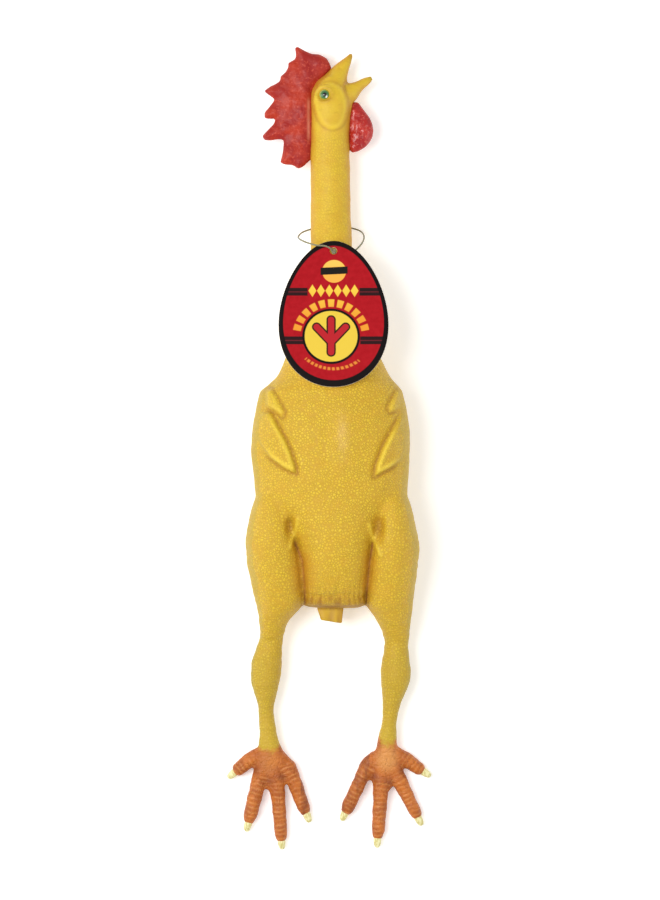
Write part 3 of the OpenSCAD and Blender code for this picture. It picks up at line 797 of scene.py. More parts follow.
@dataclass
class CordLoop:
    """The thin cord that goes round the neck and through the tag's hole, and its knot."""

    diameter: float = 1.1
    knot_r: float = 1.36
    route: Tuple[Point, ...] = (
        (2, 131.2, 42.2), (5, 129.6, 40.2), (9, 129, 38.4), (15, 132.5, 34), (20, 138, 25),
        (21.5, 143, 16), (19, 147, 7.5), (12, 149.5, 2.4), (4, 150.5, 1.2), (-6, 150, 1.2),
        (-14, 148.5, 3), (-20, 146, 9.5), (-22.5, 143, 18), (-22, 141, 27), (-18, 138.5, 36),
        (-11, 136, 44), (-5, 135.4, 46.2), (-1.5, 134, 45.6), (0, 132.8, 44.5))

    def strand(self, name: str, line: Array, closed: bool = False) -> bpy.types.Object:
        """A round strand along a line, with its length in U and its turn in V.

        Args:
            name: The piece's name.
            line: Points of the centre line in millimetres.
            closed: Whether the strand's ends meet.

        Returns:
            The strand as a mesh.
        """
        sides, n = 12, len(line)
        way = (np.roll(line, -1, 0) - np.roll(line, 1, 0)) if closed else np.gradient(line, axis=0)
        way /= np.linalg.norm(way, axis=1)[:, None]
        side = np.zeros_like(way)
        side[0] = np.cross(way[0], (0.2, 1.0, 0.1))
        for k in range(1, n):
            side[k] = side[k - 1] - way[k] * (side[k - 1] @ way[k])
        side = side - way * np.sum(side * way, axis=1)[:, None]
        side /= np.linalg.norm(side, axis=1)[:, None]
        up = np.cross(way, side)
        turn = np.linspace(0, 2 * math.pi, sides, endpoint=False)[None, :, None]
        points = line[:, None] + self.diameter / 2 * (np.cos(turn) * side[:, None] + np.sin(turn) * up[:, None])
        obj = mesh_object(name, points.reshape(-1, 3), ring_faces(n, sides, closed))
        run = np.concatenate([[0], np.cumsum(np.linalg.norm(np.diff(line, axis=0), axis=1))]) * MM
        layer = obj.data.uv_layers.new(name="strand")
        for poly in obj.data.polygons:
            wrap = {obj.data.loops[i].vertex_index % sides for i in poly.loop_indices} == {0, sides - 1}
            for i in poly.loop_indices:
                k = obj.data.loops[i].vertex_index
                layer.data[i].uv = (run[k // sides], 1.0 if wrap and k % sides == 0 else (k % sides) / sides)
        outward(obj)
        smooth_shade(obj)
        return obj

    def build(self) -> None:
        """Makes the loop and its knot."""
        finish = TwistedCord().material()
        line = through(self.route, 6)
        loop = self.strand("cord_loop", line)
        hand_in(loop, finish, ["tag_loop"])
        t = np.linspace(0, 2 * math.pi, 96, endpoint=False)
        # A trefoil, the line of an overhand knot
        knot_line = np.stack([np.sin(t) + 2 * np.sin(2 * t), 1.05 * (np.cos(t) - 2 * np.cos(2 * t)),
                              -1.15 * np.sin(3 * t)], 1)
        knot = self.strand("cord_knot", np.array(TAG_HOLE) + [0, 0, 0.3] + knot_line * self.knot_r / 3, closed=True)
        hand_in(knot, finish, ["loop_knot"])
        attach(loop, "loop")
        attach(knot, "loop")


@dataclass
class SwingTag:
    """The egg-shaped card with its hole, a little bowed, printed on the side that faces up."""

    width: float = TAG_WIDTH
    height: float = TAG_HEIGHT
    thick: float = 0.9
    top: float = TAG_TOP
    taper: float = TAG_TAPER
    tilt: float = 15.0
    hole_r: float = 2.5
    rings: Tuple[float, ...] = (0.0, 0.16, 0.34, 0.52, 0.68, 0.82, 0.93, 0.985, 1.0)

    def build(self) -> None:
        """Makes the card from rings between its hole and its edge."""
        sides = 120
        turn = np.linspace(0, 2 * math.pi, sides, endpoint=False)
        edge = np.stack([self.width / 2 * np.sin(turn) * (1 - self.taper * np.cos(turn)),
                         self.top - self.height / 2 + self.height / 2 * np.cos(turn)], 1)
        hole = self.hole_r * np.stack([np.sin(turn), np.cos(turn)], 1)
        flat = [hole + (edge - hole) * share for share in self.rings]
        layers = []
        for level, order in ((self.thick / 2, flat), (-self.thick / 2, flat[::-1])):
            for loop in order:
                shrink = 0.12 if loop is flat[-1] or loop is flat[0] else 0.0
                layers.append(np.column_stack([loop, np.full(sides, level - math.copysign(shrink, level))]))
        local = np.concatenate(layers)
        faces = ring_faces(len(layers), sides, closed=True)
        bow = 0.25 * (local[:, 0] / 36) ** 2 + 0.2 * ((local[:, 1] + 43) / 50) ** 2
        placed = local + np.column_stack([np.zeros((len(local), 2)), bow])
        a = -math.radians(self.tilt)
        y = placed[:, 1] * math.cos(a) - placed[:, 2] * math.sin(a)
        z = placed[:, 1] * math.sin(a) + placed[:, 2] * math.cos(a)
        card = mesh_object("swing_tag", np.column_stack([placed[:, 0], y, z]) + TAG_HOLE, faces)
        layer = card.data.uv_layers.new(name="print")
        for i, loop in enumerate(card.data.loops):
            layer.data[i].uv = local[loop.vertex_index][:2]
        outward(card)
        front, back = TagPrint().material(), PlainCard().material()
        card.data.materials.append(front)
        card.data.materials.append(back)
        up = Vector((0, -math.sin(a), math.cos(a)))
        for poly in card.data.polygons:
            poly.material_index = 0 if poly.normal.dot(up) > 0.6 else 1
        smooth_shade(card, 40)
        hand_in(card, front, ["tag_card"])
        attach(card, "tag")


# ---- The cast skin ----

CREASE = {Side.LEFT: [(-29, -33), (-28, -47), (-24.8, -62), (-19.6, -74), (-18.2, -90), (-18.2, -107)],
          Side.RIGHT: [(33, -33), (31.5, -47), (27, -62), (24.9, -76), (23.6, -90), (22.6, -107)]}
PIT = {Side.LEFT: (-28.2, -51.0, 2.4, 6.0, 2.2), Side.RIGHT: (31.4, -52.0, 3.0, 6.6, 2.6)}
FOLD = {Side.LEFT: [(-22.7, -46), (-25, -56), (-27.8, -65)], Side.RIGHT: [(25, -50), (27.6, -60), (32, -70)]}
ELBOW = {
    Side.LEFT: [
        (-44.5, 40), (-40, 40), (-36, 33), (-31.5, 25), (-33, 21.5), (-38, 25.5), (-44, 29)],
    Side.RIGHT: [
        (46.5, 39), (43.5, 40), (39.5, 33), (37, 28), (38.5, 25), (43, 26), (47, 29)]}
BLADE = {
    Side.LEFT: [
        (-40.5, 24), (-35.3, 14.5), (-30.7, 6.3), (-27.3, -1.7), (-24.4, -11), (-23.6, -15.8), (-27, -14.8),
        (-33, -11.5), (-41, -5.6), (-46.5, 1), (-51, 8), (-51, 20), (-46, 25)],
    Side.RIGHT: [
        (45, 22.5), (41.5, 16), (37.9, 9.5), (33.3, 0.5), (29.2, -10.5), (28.2, -17.8), (32, -15.8), (40, -11.5),
        (46, -7), (50, 0), (52, 10), (51, 20), (48, 24)]}
CHEEK = [(float(q[0]), float(q[1])) for q in through([
    (-8, 244), (-12, 236), (-11.2, 226), (-7, 217.6), (-0.5, 214), (5.6, 216), (9.6, 222.6), (10.4, 232), (7, 241),
    (0, 245.6), (-8, 244)], 5)]
BROW = [(-11.8, 233), (-11.2, 239), (-7.5, 244.6), (-1.5, 249)]
MOUTH = [(10.2, 246.8), (8.4, 244.4), (9.4, 240.6)]
BEAK = [(-12.5, 243), (-2, 257), (12, 265.5)]
NOSTRIL = (5.6, 255.6)
EYE = (-4.9, 237.2)
HEAD_FROM, STUB_FROM = 205, -107       # the head lies above one Y, and the tail stub below the other
RING_MM, PLEAT_MM, SCUTE_MM = 3.1, 3.3, 2.9


@dataclass
class ToeShape:
    """One toe: where it leaves the foot, the way that it points and its length with the claw."""

    name: str
    root: Tuple[float, float]
    turn: float
    length: float


ANKLE = {Side.LEFT: (-42.5, -200.0), Side.RIGHT: (36.0, -200.0)}
TOES = {Side.LEFT: [ToeShape("inner", (-29.6, -213.1), 21, 41), ToeShape("middle", (-37.2, -223.8), 4.6, 46),
                    ToeShape("outer", (-48.1, -218.8), -14, 40), ToeShape("hallux", (-54.9, -208.6), -50, 20)],
        Side.RIGHT: [ToeShape("inner", (23.7, -213.1), -25, 41), ToeShape("middle", (33.0, -224.5), -3.5, 44),
                     ToeShape("outer", (44.4, -220.2), 26, 37), ToeShape("hallux", (49.2, -208.6), 56, 21)]}
CLAW_L, TOE_Z, TOE_TIP_Z = 6.5, 5.8, 4.5


def toe_way(toe: ToeShape) -> Array:
    """The level direction in which a toe points."""
    a = math.radians(toe.turn)
    return np.array([math.sin(a), -math.cos(a), 0.0])


def toe_line(toe: ToeShape) -> Tuple[Array, Array]:
    """A toe's root and the place where its claw begins."""
    root = np.array([*toe.root, TOE_Z])
    return root, root + (toe.length - CLAW_L) * toe_way(toe) - [0, 0, TOE_Z - TOE_TIP_Z]


@dataclass
class CastSkin:
    """The yellow skin as it comes from the mould: torso, neck, head, legs and feet in one, then cut where it folds."""

    voxel: float = 0.9
    toe_half: float = 6.6        # half the width and the length of the cut round a toe
    toe_reach: float = 80.0
    cuts: Dict[str, Tuple[float, float]] = field(default_factory=lambda: {
        "head": (173.0, 290.0), "upper_neck": (141.0, 174.0), "lower_neck": (110.0, 142.0),
        "knee": (-149, -106), "shank": (-185, -148), "foot": (-290, -184)})
    chest: Rows = field(default_factory=lambda: [
        (-46, -43, 42, 4, 60), (-38, -48, 47, 0, 63), (-30, -51, 50.2, -4, 65), (-19, -52.2, 51, -6, 67),
        (-4, -54, 51.8, -6, 68), (5, -53.8, 52, -6, 68), (14, -53, 51.6, -6, 68), (27, -51, 49.8, -6, 66.5),
        (34.5, -49.2, 48.2, -6, 65), (39, -47.6, 47.2, -6, 64.4), (42.4, -43.4, 44.4, -5, 63.4),
        (49, -37, 38.4, -4, 61.2), (57, -33, 34.4, -2, 59), (66, -29.4, 30, 2, 55.5), (78, -24, 24.2, 7, 51),
        (91, -19, 18.6, 12, 46.4), (104, -15, 14.2, 14.4, 41.5)])
    belly: Rows = field(default_factory=lambda: [
        (-106, -12, 16, 14, 30), (-105, -16.5, 20, 9, 35), (-102.5, -19.6, 23.4, 4, 40), (-98, -20.5, 24.4, 1, 45.5),
        (-88, -22, 25.8, -2, 53), (-74, -24, 28, -4, 58.5), (-60, -27, 31, -5, 62), (-47, -33, 36, -6, 64),
        (-34, -41, 41, -6, 65), (-20, -46, 46, -6, 66.5)])
    neck: Rows = field(default_factory=lambda: [
        (80, -14.8, 14, 19, 46.6), (96, -14.6, 13.8, 15.6, 43.4), (110, -14.4, 13.6, 12.6, 40.2),
        (123, -14.3, 13.5, 9.9, 37.5), (137, -14.3, 13.3, 6.9, 34.5), (150, -14.3, 12.9, 4.3, 31.8),
        (161, -14.3, 12.6, 2.8, 30), (174, -14.3, 12.4, 2.5, 29.5), (190, -14.3, 12.2, 2.6, 29.4)])
    head: Rows = field(default_factory=lambda: [
        (180, -14.2, 12.5, 2.8, 29.2), (199, -14.4, 12.0, 2.6, 29.4), (209, -14.1, 11.7, 2.4, 29.6),
        (214, -14, 11.9, 1.9, 30.1), (220, -13.8, 12.3, 1.7, 30.3), (227, -13.9, 13.2, 1.8, 30.2),
        (233.5, -14.1, 14.2, 2.2, 29.8), (239, -13.7, 13.6, 3.2, 28.8), (243.5, -12.4, 11.4, 4.8, 27.2),
        (247.4, -9.8, 10.2, 6.6, 25.4), (251.2, -5, 10.6, 8.6, 23.4), (255, -0.9, 11.5, 10.6, 21.4),
        (258.5, 2.7, 12.5, 12.1, 19.9), (261.4, 6.6, 13.2, 13.2, 18.8), (264, 9.9, 13.9, 14.3, 17.7),
        (265.6, 11.8, 13.7, 15.2, 16.8)])
    thigh: Dict[Side, Rows] = field(default_factory=lambda: {
        Side.LEFT: [
            (-24, -46, -32, 16, 48), (-34, -52, -27, 5, 56.5), (-47, -55.6, -23, 1, 58.4),
            (-62, -57.8, -20.5, 0, 58), (-77, -56.4, -17.6, 0, 54), (-90, -53.9, -17.2, 0.5, 48.6),
            (-100, -51.8, -17.8, 1, 43.6), (-106, -50.4, -21, 2, 40), (-112, -49.3, -26.6, 3.5, 35.5),
            (-119, -48.4, -30.8, 5.6, 29.6), (-127, -48.6, -32.6, 7, 25)],
        Side.RIGHT: [
            (-24, 34, 46, 16, 48), (-34, 30, 51.6, 5, 56.5), (-47, 26, 55, 1, 58.4), (-62, 22.6, 58, 0, 58),
            (-77, 21.4, 57.6, 0, 54), (-90, 21.2, 56, 0.5, 48.6), (-100, 21.6, 54.6, 1, 43.6),
            (-106, 24, 53.8, 2, 40), (-112, 28, 53.4, 3.5, 35.5), (-119, 32, 52.6, 5.6, 29.6),
            (-127, 35, 51.7, 7, 25)]})
    leg: Dict[Side, Rows] = field(default_factory=lambda: {
        Side.LEFT: [
            (-121, -48.3, -31.8, 7, 27.5), (-126, -48.5, -32.5, 7, 24), (-132, -50.7, -33.2, 6, 23.4),
            (-142, -53.9, -33.7, 4, 24), (-150, -54.6, -34, 2.8, 23.8), (-156.5, -54.4, -35.3, 2.6, 22.8),
            (-164, -52.2, -37, 3.4, 20.4), (-171, -50.2, -38.9, 4.4, 18), (-178, -49.4, -39.2, 4.5, 16.5),
            (-186, -48.9, -38.2, 3.6, 15.6), (-193, -48.9, -36.6, 2.8, 15.2), (-200, -49.8, -34.2, 2.4, 15),
            (-206, -51, -31.4, 1.8, 13.6), (-212, -50.6, -29, 1.4, 12), (-218, -49.8, -29.2, 1.2, 10.8),
            (-224, -47.6, -30.4, 1.4, 10.0), (-229.5, -43.5, -33.2, 2.2, 9.0)],
        Side.RIGHT: [
            (-121, 34.4, 52.4, 7, 27.5), (-126, 35, 51.8, 7, 24), (-134, 35, 51.2, 5.4, 23.2),
            (-142, 33.4, 52.2, 4, 24), (-149, 32.7, 52.9, 2.8, 23.8), (-156, 33, 52.3, 2.6, 22.8),
            (-163.3, 33.6, 49.6, 3.4, 20.4), (-172, 33.9, 46, 4.4, 17.8), (-180, 33.8, 44.3, 4.4, 16.4),
            (-188, 32.4, 43.4, 3.5, 15.6), (-195, 31, 43.3, 2.8, 15.2), (-201, 29.6, 43.8, 2.4, 15),
            (-207, 27.2, 44.8, 1.8, 13.4), (-213, 25.4, 45.4, 1.4, 12), (-219, 25.6, 44.4, 1.2, 10.8),
            (-225, 27.2, 42.4, 1.4, 10.0), (-229.5, 29.8, 38.6, 2.2, 9.0)]})
    jaw: Rows = field(default_factory=lambda: [
        (7.5, 236.5, 16, 7.4, 9.4), (12, 239.4, 16, 6.8, 7.8), (15.6, 242.2, 16, 4.9, 6.2),
        (19.0, 244.6, 16, 3.5, 4.8), (22.3, 246.7, 16, 2.8, 3.4), (24.8, 248.3, 16, 2.1, 2.3),
        (26.6, 249.5, 16, 1.1, 1.3)])

    def toe_form(self, toe: ToeShape, ankle: Tuple[float, float]) -> bpy.types.Object:
        """A toe with its knuckles, from inside the foot to where its claw begins."""
        root, end = toe_line(toe)
        way = (end - root) / np.linalg.norm(end - root)
        start = root - 0.55 * (root - np.array([*ankle, 8.0]))
        reach = np.linalg.norm(end - root)
        # Two knuckles swell between the root and the claw
        stations = [0.0, 0.1, 0.22, 0.36, 0.5, 0.62, 0.76, 0.88, 1.0]
        swell = [5.3, 5.3, 5.2, 4.8, 5.0, 4.6, 4.7, 4.4, 3.2]
        route = [start] + [root + way * reach * s for s in stations] + [end + way * 0.9]
        radii = [(4.6, 4.8)] + [(r, r * (0.98 if s < 0.9 else 0.95)) for r, s in zip(swell, stations)] + [(1.9, 1.9)]
        return tube("toe_form", np.array(route), np.array(radii), 3)

    def cast(self) -> bpy.types.Object:
        """Joins all forms in one closed, even skin and gives it its relief."""
        forms = [loft("chest", self.chest, power=2.35), loft("belly", self.belly, power=2.4),
                 loft("neck", self.neck, power=2.0), loft("head", self.head, 5, power=2.15),
                 tube("jaw", [r[:3] for r in self.jaw], [r[3:] for r in self.jaw])]
        for side in Side:
            forms += [loft("thigh", self.thigh[side], power=2.15), loft("leg", self.leg[side], power=2.1)]
            forms += [self.toe_form(toe, ANKLE[side]) for toe in TOES[side]]
        skin = joined("skin", forms)
        modify(skin, "REMESH", mode="VOXEL", voxel_size=self.voxel * MM, use_smooth_shade=True)
        relax(skin, 14, self.softness)
        for _ in range(2):
            points = points_of(skin)
            put_points(skin, points + normals_of(skin) * (self.relief(points, normals_of(skin)) / 2)[:, None])
        relax(skin, 1, lambda p: np.full(len(p), 0.3))
        points = points_of(skin)
        points[:, 2] = np.maximum(points[:, 2], SKIN_FLOOR)
        put_points(skin, points)
        return skin

    @staticmethod
    def softness(p: Array) -> Array:
        """How far the joins between forms melt into each other."""
        y = p[:, 1]
        hip = step(y, -64, -50) * (1 - step(y, -22, -10))
        shoulder = step(y, 50, 66) * (1 - step(y, 118, 130))
        crease = np.minimum(away(p, CREASE[Side.LEFT][2:]), away(p, CREASE[Side.RIGHT][2:]))
        feet = 0.35 * step(-y, 196, 204) * (1 - step(-y, 214, 222))
        knee = 0.8 * step(-y, 104, 116) * (1 - step(-y, 132, 142))
        face = 1 - step(y, 226, 238)
        melt = np.maximum.reduce([0.85 * hip, 0.9 * shoulder, feet, knee, np.full(len(p), 0.18)])
        return melt * face * (0.25 + 0.75 * step(crease, 1, 7)) + 0.04

    @staticmethod
    def relief(p: Array, n: Array) -> Array:
        """Height in millimetres of what the mould puts on the skin."""
        x, y, z = p.T
        up = np.clip(n[:, 2] * 1.6, 0, 1)
        height = np.zeros(len(p))
        for side in Side:
            blade, inner = inside(p, BLADE[side]), np.maximum(inside(p, ELBOW[side]), -20)
            height += up * (1 - step(np.abs(x), 36, 52)) * (
                2.5 * step(blade, -0.4, 2.0) - 1.0 * bell(blade + 1.2, 1.3) + 0.6 * bell(blade - 2.4, 1.5))
            height += up * (1 - step(np.abs(x), 38, 50)) * (
                1.9 * step(inner, -0.3, 2.6) - 0.9 * bell(inner + 1.2, 1.3))
            px, py, rx, ry, depth = PIT[side]
            height -= up * depth * bell(x - px, rx, y - py, ry)
            groove = away(p, CREASE[side][2:])
            height -= up * (1.1 * bell(groove, 1.5) + 0.8 * bell(groove, 4.0))
            height += up * 1.1 * bell(away(p, FOLD[side]), 1.5)
        back = (np.abs(x - 2) < 26) * step(-y, 84, 98) * (1 - step(-y, 112, 113))
        pleat = np.sin(x * 2 * math.pi / PLEAT_MM + 1.6 * lattice_noise(p, 7.0, 3))
        hem = bell(y + 102.2, 2.0) - 0.9 * bell(y + 97.4, 1.5)
        belly = (np.abs(x - 2) < 22) * step(z, 3, 10)
        height += belly * (0.9 * hem + 0.45 * pleat * back * (1 - step(-y, 102, 104)))
        height -= belly * up * 1.0 * bell(x - 4.2, 1.2) * step(-y, 82, 90)
        # Shallow creases across the belly, the thighs and the breast
        low = lattice_noise(p * [0.22, 1.0, 0.4], 2.6, 11)
        height += 0.2 * low * (step(-y, 40, 60) + 0.35)
        keel = bell(x - 5.5, 7) * bell(y - 8, 26)
        height += up * (0.9 * keel + 0.35 * keel * lattice_noise(p * [1.0, 0.35, 1.0], 2.2, 5))
        height += 0.16 * lattice_noise(p, 4.0, 17) + 0.3 * lattice_noise(p, 13.0, 23)
        # The lids, brow, cheek, corner of the mouth and nostril, on both sides of the head
        face = step(y, 205, 212) * (np.abs(n[:, 2]) > 0.25)
        eye = np.hypot(x - EYE[0], y - EYE[1])
        height += face * (1.1 * bell(eye - 5.2, 1.0) - 1.5 * np.exp(-(eye / 3.9) ** 4) + 1.1 * bell(away(p, BROW), 1.7)
                          + 1.0 * step(inside(p, CHEEK), -0.8, 2.6) - 0.9 * bell(away(p, MOUTH), 1.0)
                          - 0.6 * bell(np.hypot(x - NOSTRIL[0], y - NOSTRIL[1]), 1.1))
        # Scutes on the shanks; the rings of the toes come after the cut, on a finer mesh
        for side in Side:
            shin = (np.abs(x - ANKLE[side][0]) < 9) * step(-y, 168, 178) * (1 - step(-y, 204, 208))
            height += 0.22 * shin * up * np.sin(y * 2 * math.pi / SCUTE_MM)
        return height

    @staticmethod
    def dress(obj: bpy.types.Object) -> None:
        """Stores where each point lies and its colour marks: painted shade in creases and hollows, painted highlights
        on ridges and the breast, the olive tone and the foot paint.
        """
        p, n = points_of(obj), normals_of(obj)
        x, y, z = p.T
        up = np.clip(n[:, 2] * 2 + 0.2, 0, 1)
        head = y > HEAD_FROM
        belly = (np.abs(x - 2) < 23) * (z > 2)
        stub = (np.abs(x + 1) < 12) * (y < STUB_FROM)
        cheek, eye = inside(p, CHEEK), np.hypot(x - EYE[0], y - EYE[1])
        pleats = 0.35 + 0.65 * step(lattice_noise(p * [1.0, 0.2, 0.2], 1.9, 71), -0.2, 0.6)
        # Painted shade: under the belly's hem, in its pleats, round the cheek, eye and mouth, on the tail stub's left
        # side, in the thigh pits and creases, round the wings and between the toes
        painted_shade = [belly * up * 0.75 * bell(y + 105.0, 1.6),
                  belly * up * 0.55 * step(-y, 95, 100) * pleats,
                  head * 0.3 * bell(cheek + 0.9, 0.8),
                  head * 0.3 * bell(eye - 4.7, 0.9),
                  head * 0.4 * bell(away(p, MOUTH), 0.9),
                  0.35 * (np.abs(x + 1) < 11) * (y < STUB_FROM) * step(-x, 4.5, 8.5)]
        # Painted highlights on the cheek pad, the folds and the inner edges of the wings
        lit = [0.4 * head * bell(cheek - 1.6, 1.2) * np.abs(n[:, 2])]
        for side in Side:
            px, py, rx, ry, _ = PIT[side]
            groove = away(p, CREASE[side][2:])
            painted_shade += [0.42 * up * bell(x - px, rx, y - py, ry * 1.1),
                       0.85 * up * bell(groove, 0.9), 0.18 * up * bell(groove, 4.0)]
            lit.append(0.5 * up * bell(away(p, FOLD[side]), 1.2))
            for outline, dark, bright in ((BLADE[side], 0.5, 0.75), (ELBOW[side], 0.42, 0.6)):
                edge = inside(p, outline)
                painted_shade.append(dark * up * (1 - step(np.abs(x), 40, 47)) * bell(edge + 1.0, 1.0))
                lit.append(bright * up * bell(edge - 2.0, 1.3) * (1 - step(np.abs(x), 38, 46)))
            roots = [toe_line(toe)[0] for toe in TOES[side]]
            for a, b in zip(roots[:-1], roots[1:]):
                web = (a + b) / 2
                painted_shade.append(0.6 * bell(np.hypot(x - web[0], y - web[1] + 1.5), 2.6))
        store(obj, "place", p * MM)
        store(obj, "crease", np.maximum.reduce(painted_shade))
        store(obj, "ridge_highlight", np.maximum.reduce(lit))
        store(obj, "calm", np.clip(0.85 * step(y, 205, 225) + 0.5 * step(y, 110, 140) + 0.3 * step(-y, 170, 190)
                                   + 0.9 * stub, 0, 0.9))
        side_on = 1 - step(np.abs(n[:, 2]), 0.25, 0.8)
        # Painted shade: a warm tint on side-facing parts of the neck and head, along the upper beak's edge and beside
        # the thigh creases
        shade_by_crease = bell(away(p, CREASE[Side.LEFT][3:5]), 7) + bell(away(p, CREASE[Side.RIGHT][3:5]), 5)
        store(obj, "warm_shade", np.clip(0.5 * side_on * step(y, 105, 150) + 0.6 * bell(away(p, BEAK), 3.0) * head
                                    + 0.45 * shade_by_crease + 0.35 * head * (1 - step(y, 210, 218)) * side_on, 0, 0.8))
        # Olive: the lower legs' and the beak tip's own tone, and painted shade on the torso's sides where they face
        # away from the top
        store(obj, "olive", np.clip(0.45 * step(-y, 100, 150) + 0.75 * step(x + y, 270.5, 277) * head
                                    + 0.5 * step(np.abs(x), 30, 56) * (n[:, 2] < 0.5) * (y < 60), 0, 1))
        aside = np.minimum(np.abs(x - ANKLE[Side.LEFT][0]), np.abs(x - ANKLE[Side.RIGHT][0]))
        edge_y = np.where(x > 0, -198.0, -203.0) + 4.0 * step(aside, 4.0, 8.5) + 5.0 * step(-x, -34, -30) * (x > 0)
        store(obj, "paint", step(edge_y + 2.0 * lattice_noise(p, 4.5, 61) - y, -7.0, 7.0))
        keel = bell(x - 7.0, 3.6, y - 9, 13)
        store(obj, "glint", np.clip(0.55 * keel * (0.6 + 0.4 * lattice_noise(p, 2.4, 9)), 0, 1))
        # Painted highlights on the tops of the toe rings and the foot plates
        store(obj, "scutes", CastSkin.scutes(p, np.clip(n[:, 2], 0, 1)))

    @staticmethod
    def scutes(p: Array, facing: Array) -> Array:
        """Where painted highlights lighten the foot paint: on the tops of the toes' rings and on the plates over the
        foot.

        Args:
            p: The points in millimetres.
            facing: How far each point faces up, from nought to one.

        Returns:
            A number from nought to one for each point.
        """
        x, y = p[:, 0], p[:, 1]
        patch, drift = 0.55 + 0.45 * lattice_noise(p, 5.0, 33), 1.8 * lattice_noise(p, 5.0, 31)
        tone_or_light = np.zeros(len(p))
        for side in Side:
            for toe in TOES[side]:
                root, way = toe_line(toe)[0], toe_way(toe)
                run = (p - root) @ way
                off = np.abs((p - root) @ np.array([way[1], -way[0], 0]))
                on = (off < 6) * step(run, -6, 0) * (run < toe.length) * facing
                wave = np.clip(0.5 + 0.5 * np.sin(run * 2 * math.pi / RING_MM + drift), 0, 1) ** 3
                tone_or_light = np.maximum(tone_or_light, on * patch * wave)
        palm = (np.exp(-(np.hypot(x - 36.8, (y + 207.5) * 0.8) / 7.5) ** 4)
                + 0.35 * np.exp(-(np.hypot(x + 42.5, (y + 209) * 0.8) / 7) ** 4))
        return np.clip(np.maximum(tone_or_light * 0.7, palm * 0.9 * facing), 0, 1)

    def split(self, skin: bpy.types.Object, finish: bpy.types.Material) -> None:
        """Cuts the skin at its folds, then shades, dresses and finishes each piece."""
        pieces: List[Tuple[bpy.types.Object, str, str, Point, Point, List[str], str]] = []

        def piece(obj: bpy.types.Object, a: str, b: str, start: Sequence[float], end: Sequence[float], nodes: List[str],
                  slot: str = "skin") -> None:
            """Notes a piece with its two bodies and the ends of its bend."""
            pieces.append((obj, a, b, metres(start), metres(end), nodes, slot))

        head = take(skin, band(*self.cuts["head"], -60, 60), "head_skin")
        jaw = take(head, [(9.3, 248.1), (16.4, 230.3), (40, 230.3), (40, 258), (14.3, 250.2)], "jaw_skin")
        upper_neck = take(skin, band(*self.cuts["upper_neck"], -60, 60), "upper_neck_skin")
        lower_neck = take(skin, band(*self.cuts["lower_neck"], -60, 60), "lower_neck_skin")
        along = np.array([0.928, 0.373, 0])
        piece(head, "neck_top", "head", (0, 176, 16), (0, 192, 16), ["head_shell", "upper_beak"])
        hinge = np.array([12.9, 239.2, 16])
        piece(jaw, "head", "jaw", hinge + along, hinge + 7 * along, ["lower_beak"])
        piece(upper_neck, "neck_mid", "neck_top", (0, 148, 18.5), (0, 171, 16), ["neck_top"])
        piece(lower_neck, "neck_root", "neck_mid", (0, 114, 25.7), (0, 134, 21.5), ["neck_mid"])
        for side in Side:
            sign, word = side.value, side.tag
            knee_x = -41 if side is Side.LEFT else 42
            around = [(sign * 6, -108.5), (sign * 6, -290), (sign * 95, -290), (sign * 95, -33)]
            leg = take(skin, CREASE[side] + around, "leg")
            foot = take(leg, band(*self.cuts["foot"]), f"foot_{word}_skin")
            hock = take(leg, band(*self.cuts["shank"]), f"shank_{word}_skin")
            knee = take(leg, band(*self.cuts["knee"]), f"knee_{word}_skin")
            leg.name = leg.data.name = f"thigh_{word}_skin"
            ax, ay = ANKLE[side]
            piece(leg, "torso", f"thigh_{word}", (sign * 41, -40, 29), (sign * 41, -68, 29), [f"thigh_{word}"])
            piece(knee, f"thigh_{word}", f"hock_{word}", (knee_x, -117, 15), (knee_x, -138, 15), [f"hock_{word}"])
            piece(hock, f"hock_{word}", f"shank_{word}", (ax, -157, 12), (ax, -177, 11), [f"shank_{word}"])
            piece(foot, f"shank_{word}", f"foot_{word}", (ax, -191, 9), (ax, -207, 8), [f"foot_{word}"], "foot_skin")
            for toe in TOES[side]:
                root, way = toe_line(toe)[0], toe_way(toe)
                across = self.toe_half * np.array([way[1], -way[0], 0.0])
                base = root - 1.4 * way
                far = base + self.toe_reach * way
                box = [base + across, base - across, far - across, far + across]
                made = take(foot, [(q[0], q[1]) for q in box], f"{toe.name}_toe_{word}_skin")
                modify(made, "SUBSURF", levels=1, render_levels=1, subdivision_type="SIMPLE")
                self.ring_scales(made, toe)
                piece(made, f"foot_{word}", f"{toe.name}_toe_{word}", root - 1.2 * way, root + 5.5 * way,
                      [f"{toe.name}_toe_{word}"], "foot_skin")
        piece(skin, "torso", "neck_root", (0, 87, 31), (0, 107, 27),
              ["torso_shell", "wing_left", "wing_right", "neck_root"])
        skin.name = skin.data.name = "torso_skin"
        for obj, a, b, start, end, nodes, slot in pieces:
            smooth_shade(obj, 60)
            self.dress(obj)
            hand_in(obj, finish, nodes)
            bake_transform(obj)

    @staticmethod
    def ring_scales(obj: bpy.types.Object, toe: ToeShape) -> None:
        """Raises the bands of scale across the upper side of a toe."""
        root, _ = toe_line(toe)
        p, n = points_of(obj), normals_of(obj)
        run = (p - root) @ toe_way(toe)
        fade = step(run, 0.5, 4) * (1 - step(run, toe.length - CLAW_L - 3, toe.length - CLAW_L))
        wave = np.abs(np.sin(run * math.pi / RING_MM + 0.9 * lattice_noise(p, 5.0, 31))) ** 0.7
        put_points(obj, p + n * (0.19 * fade * (wave - 0.55) * np.clip(n[:, 2] + 0.5, 0, 1))[:, None])


# ---- Comb and wattle ----


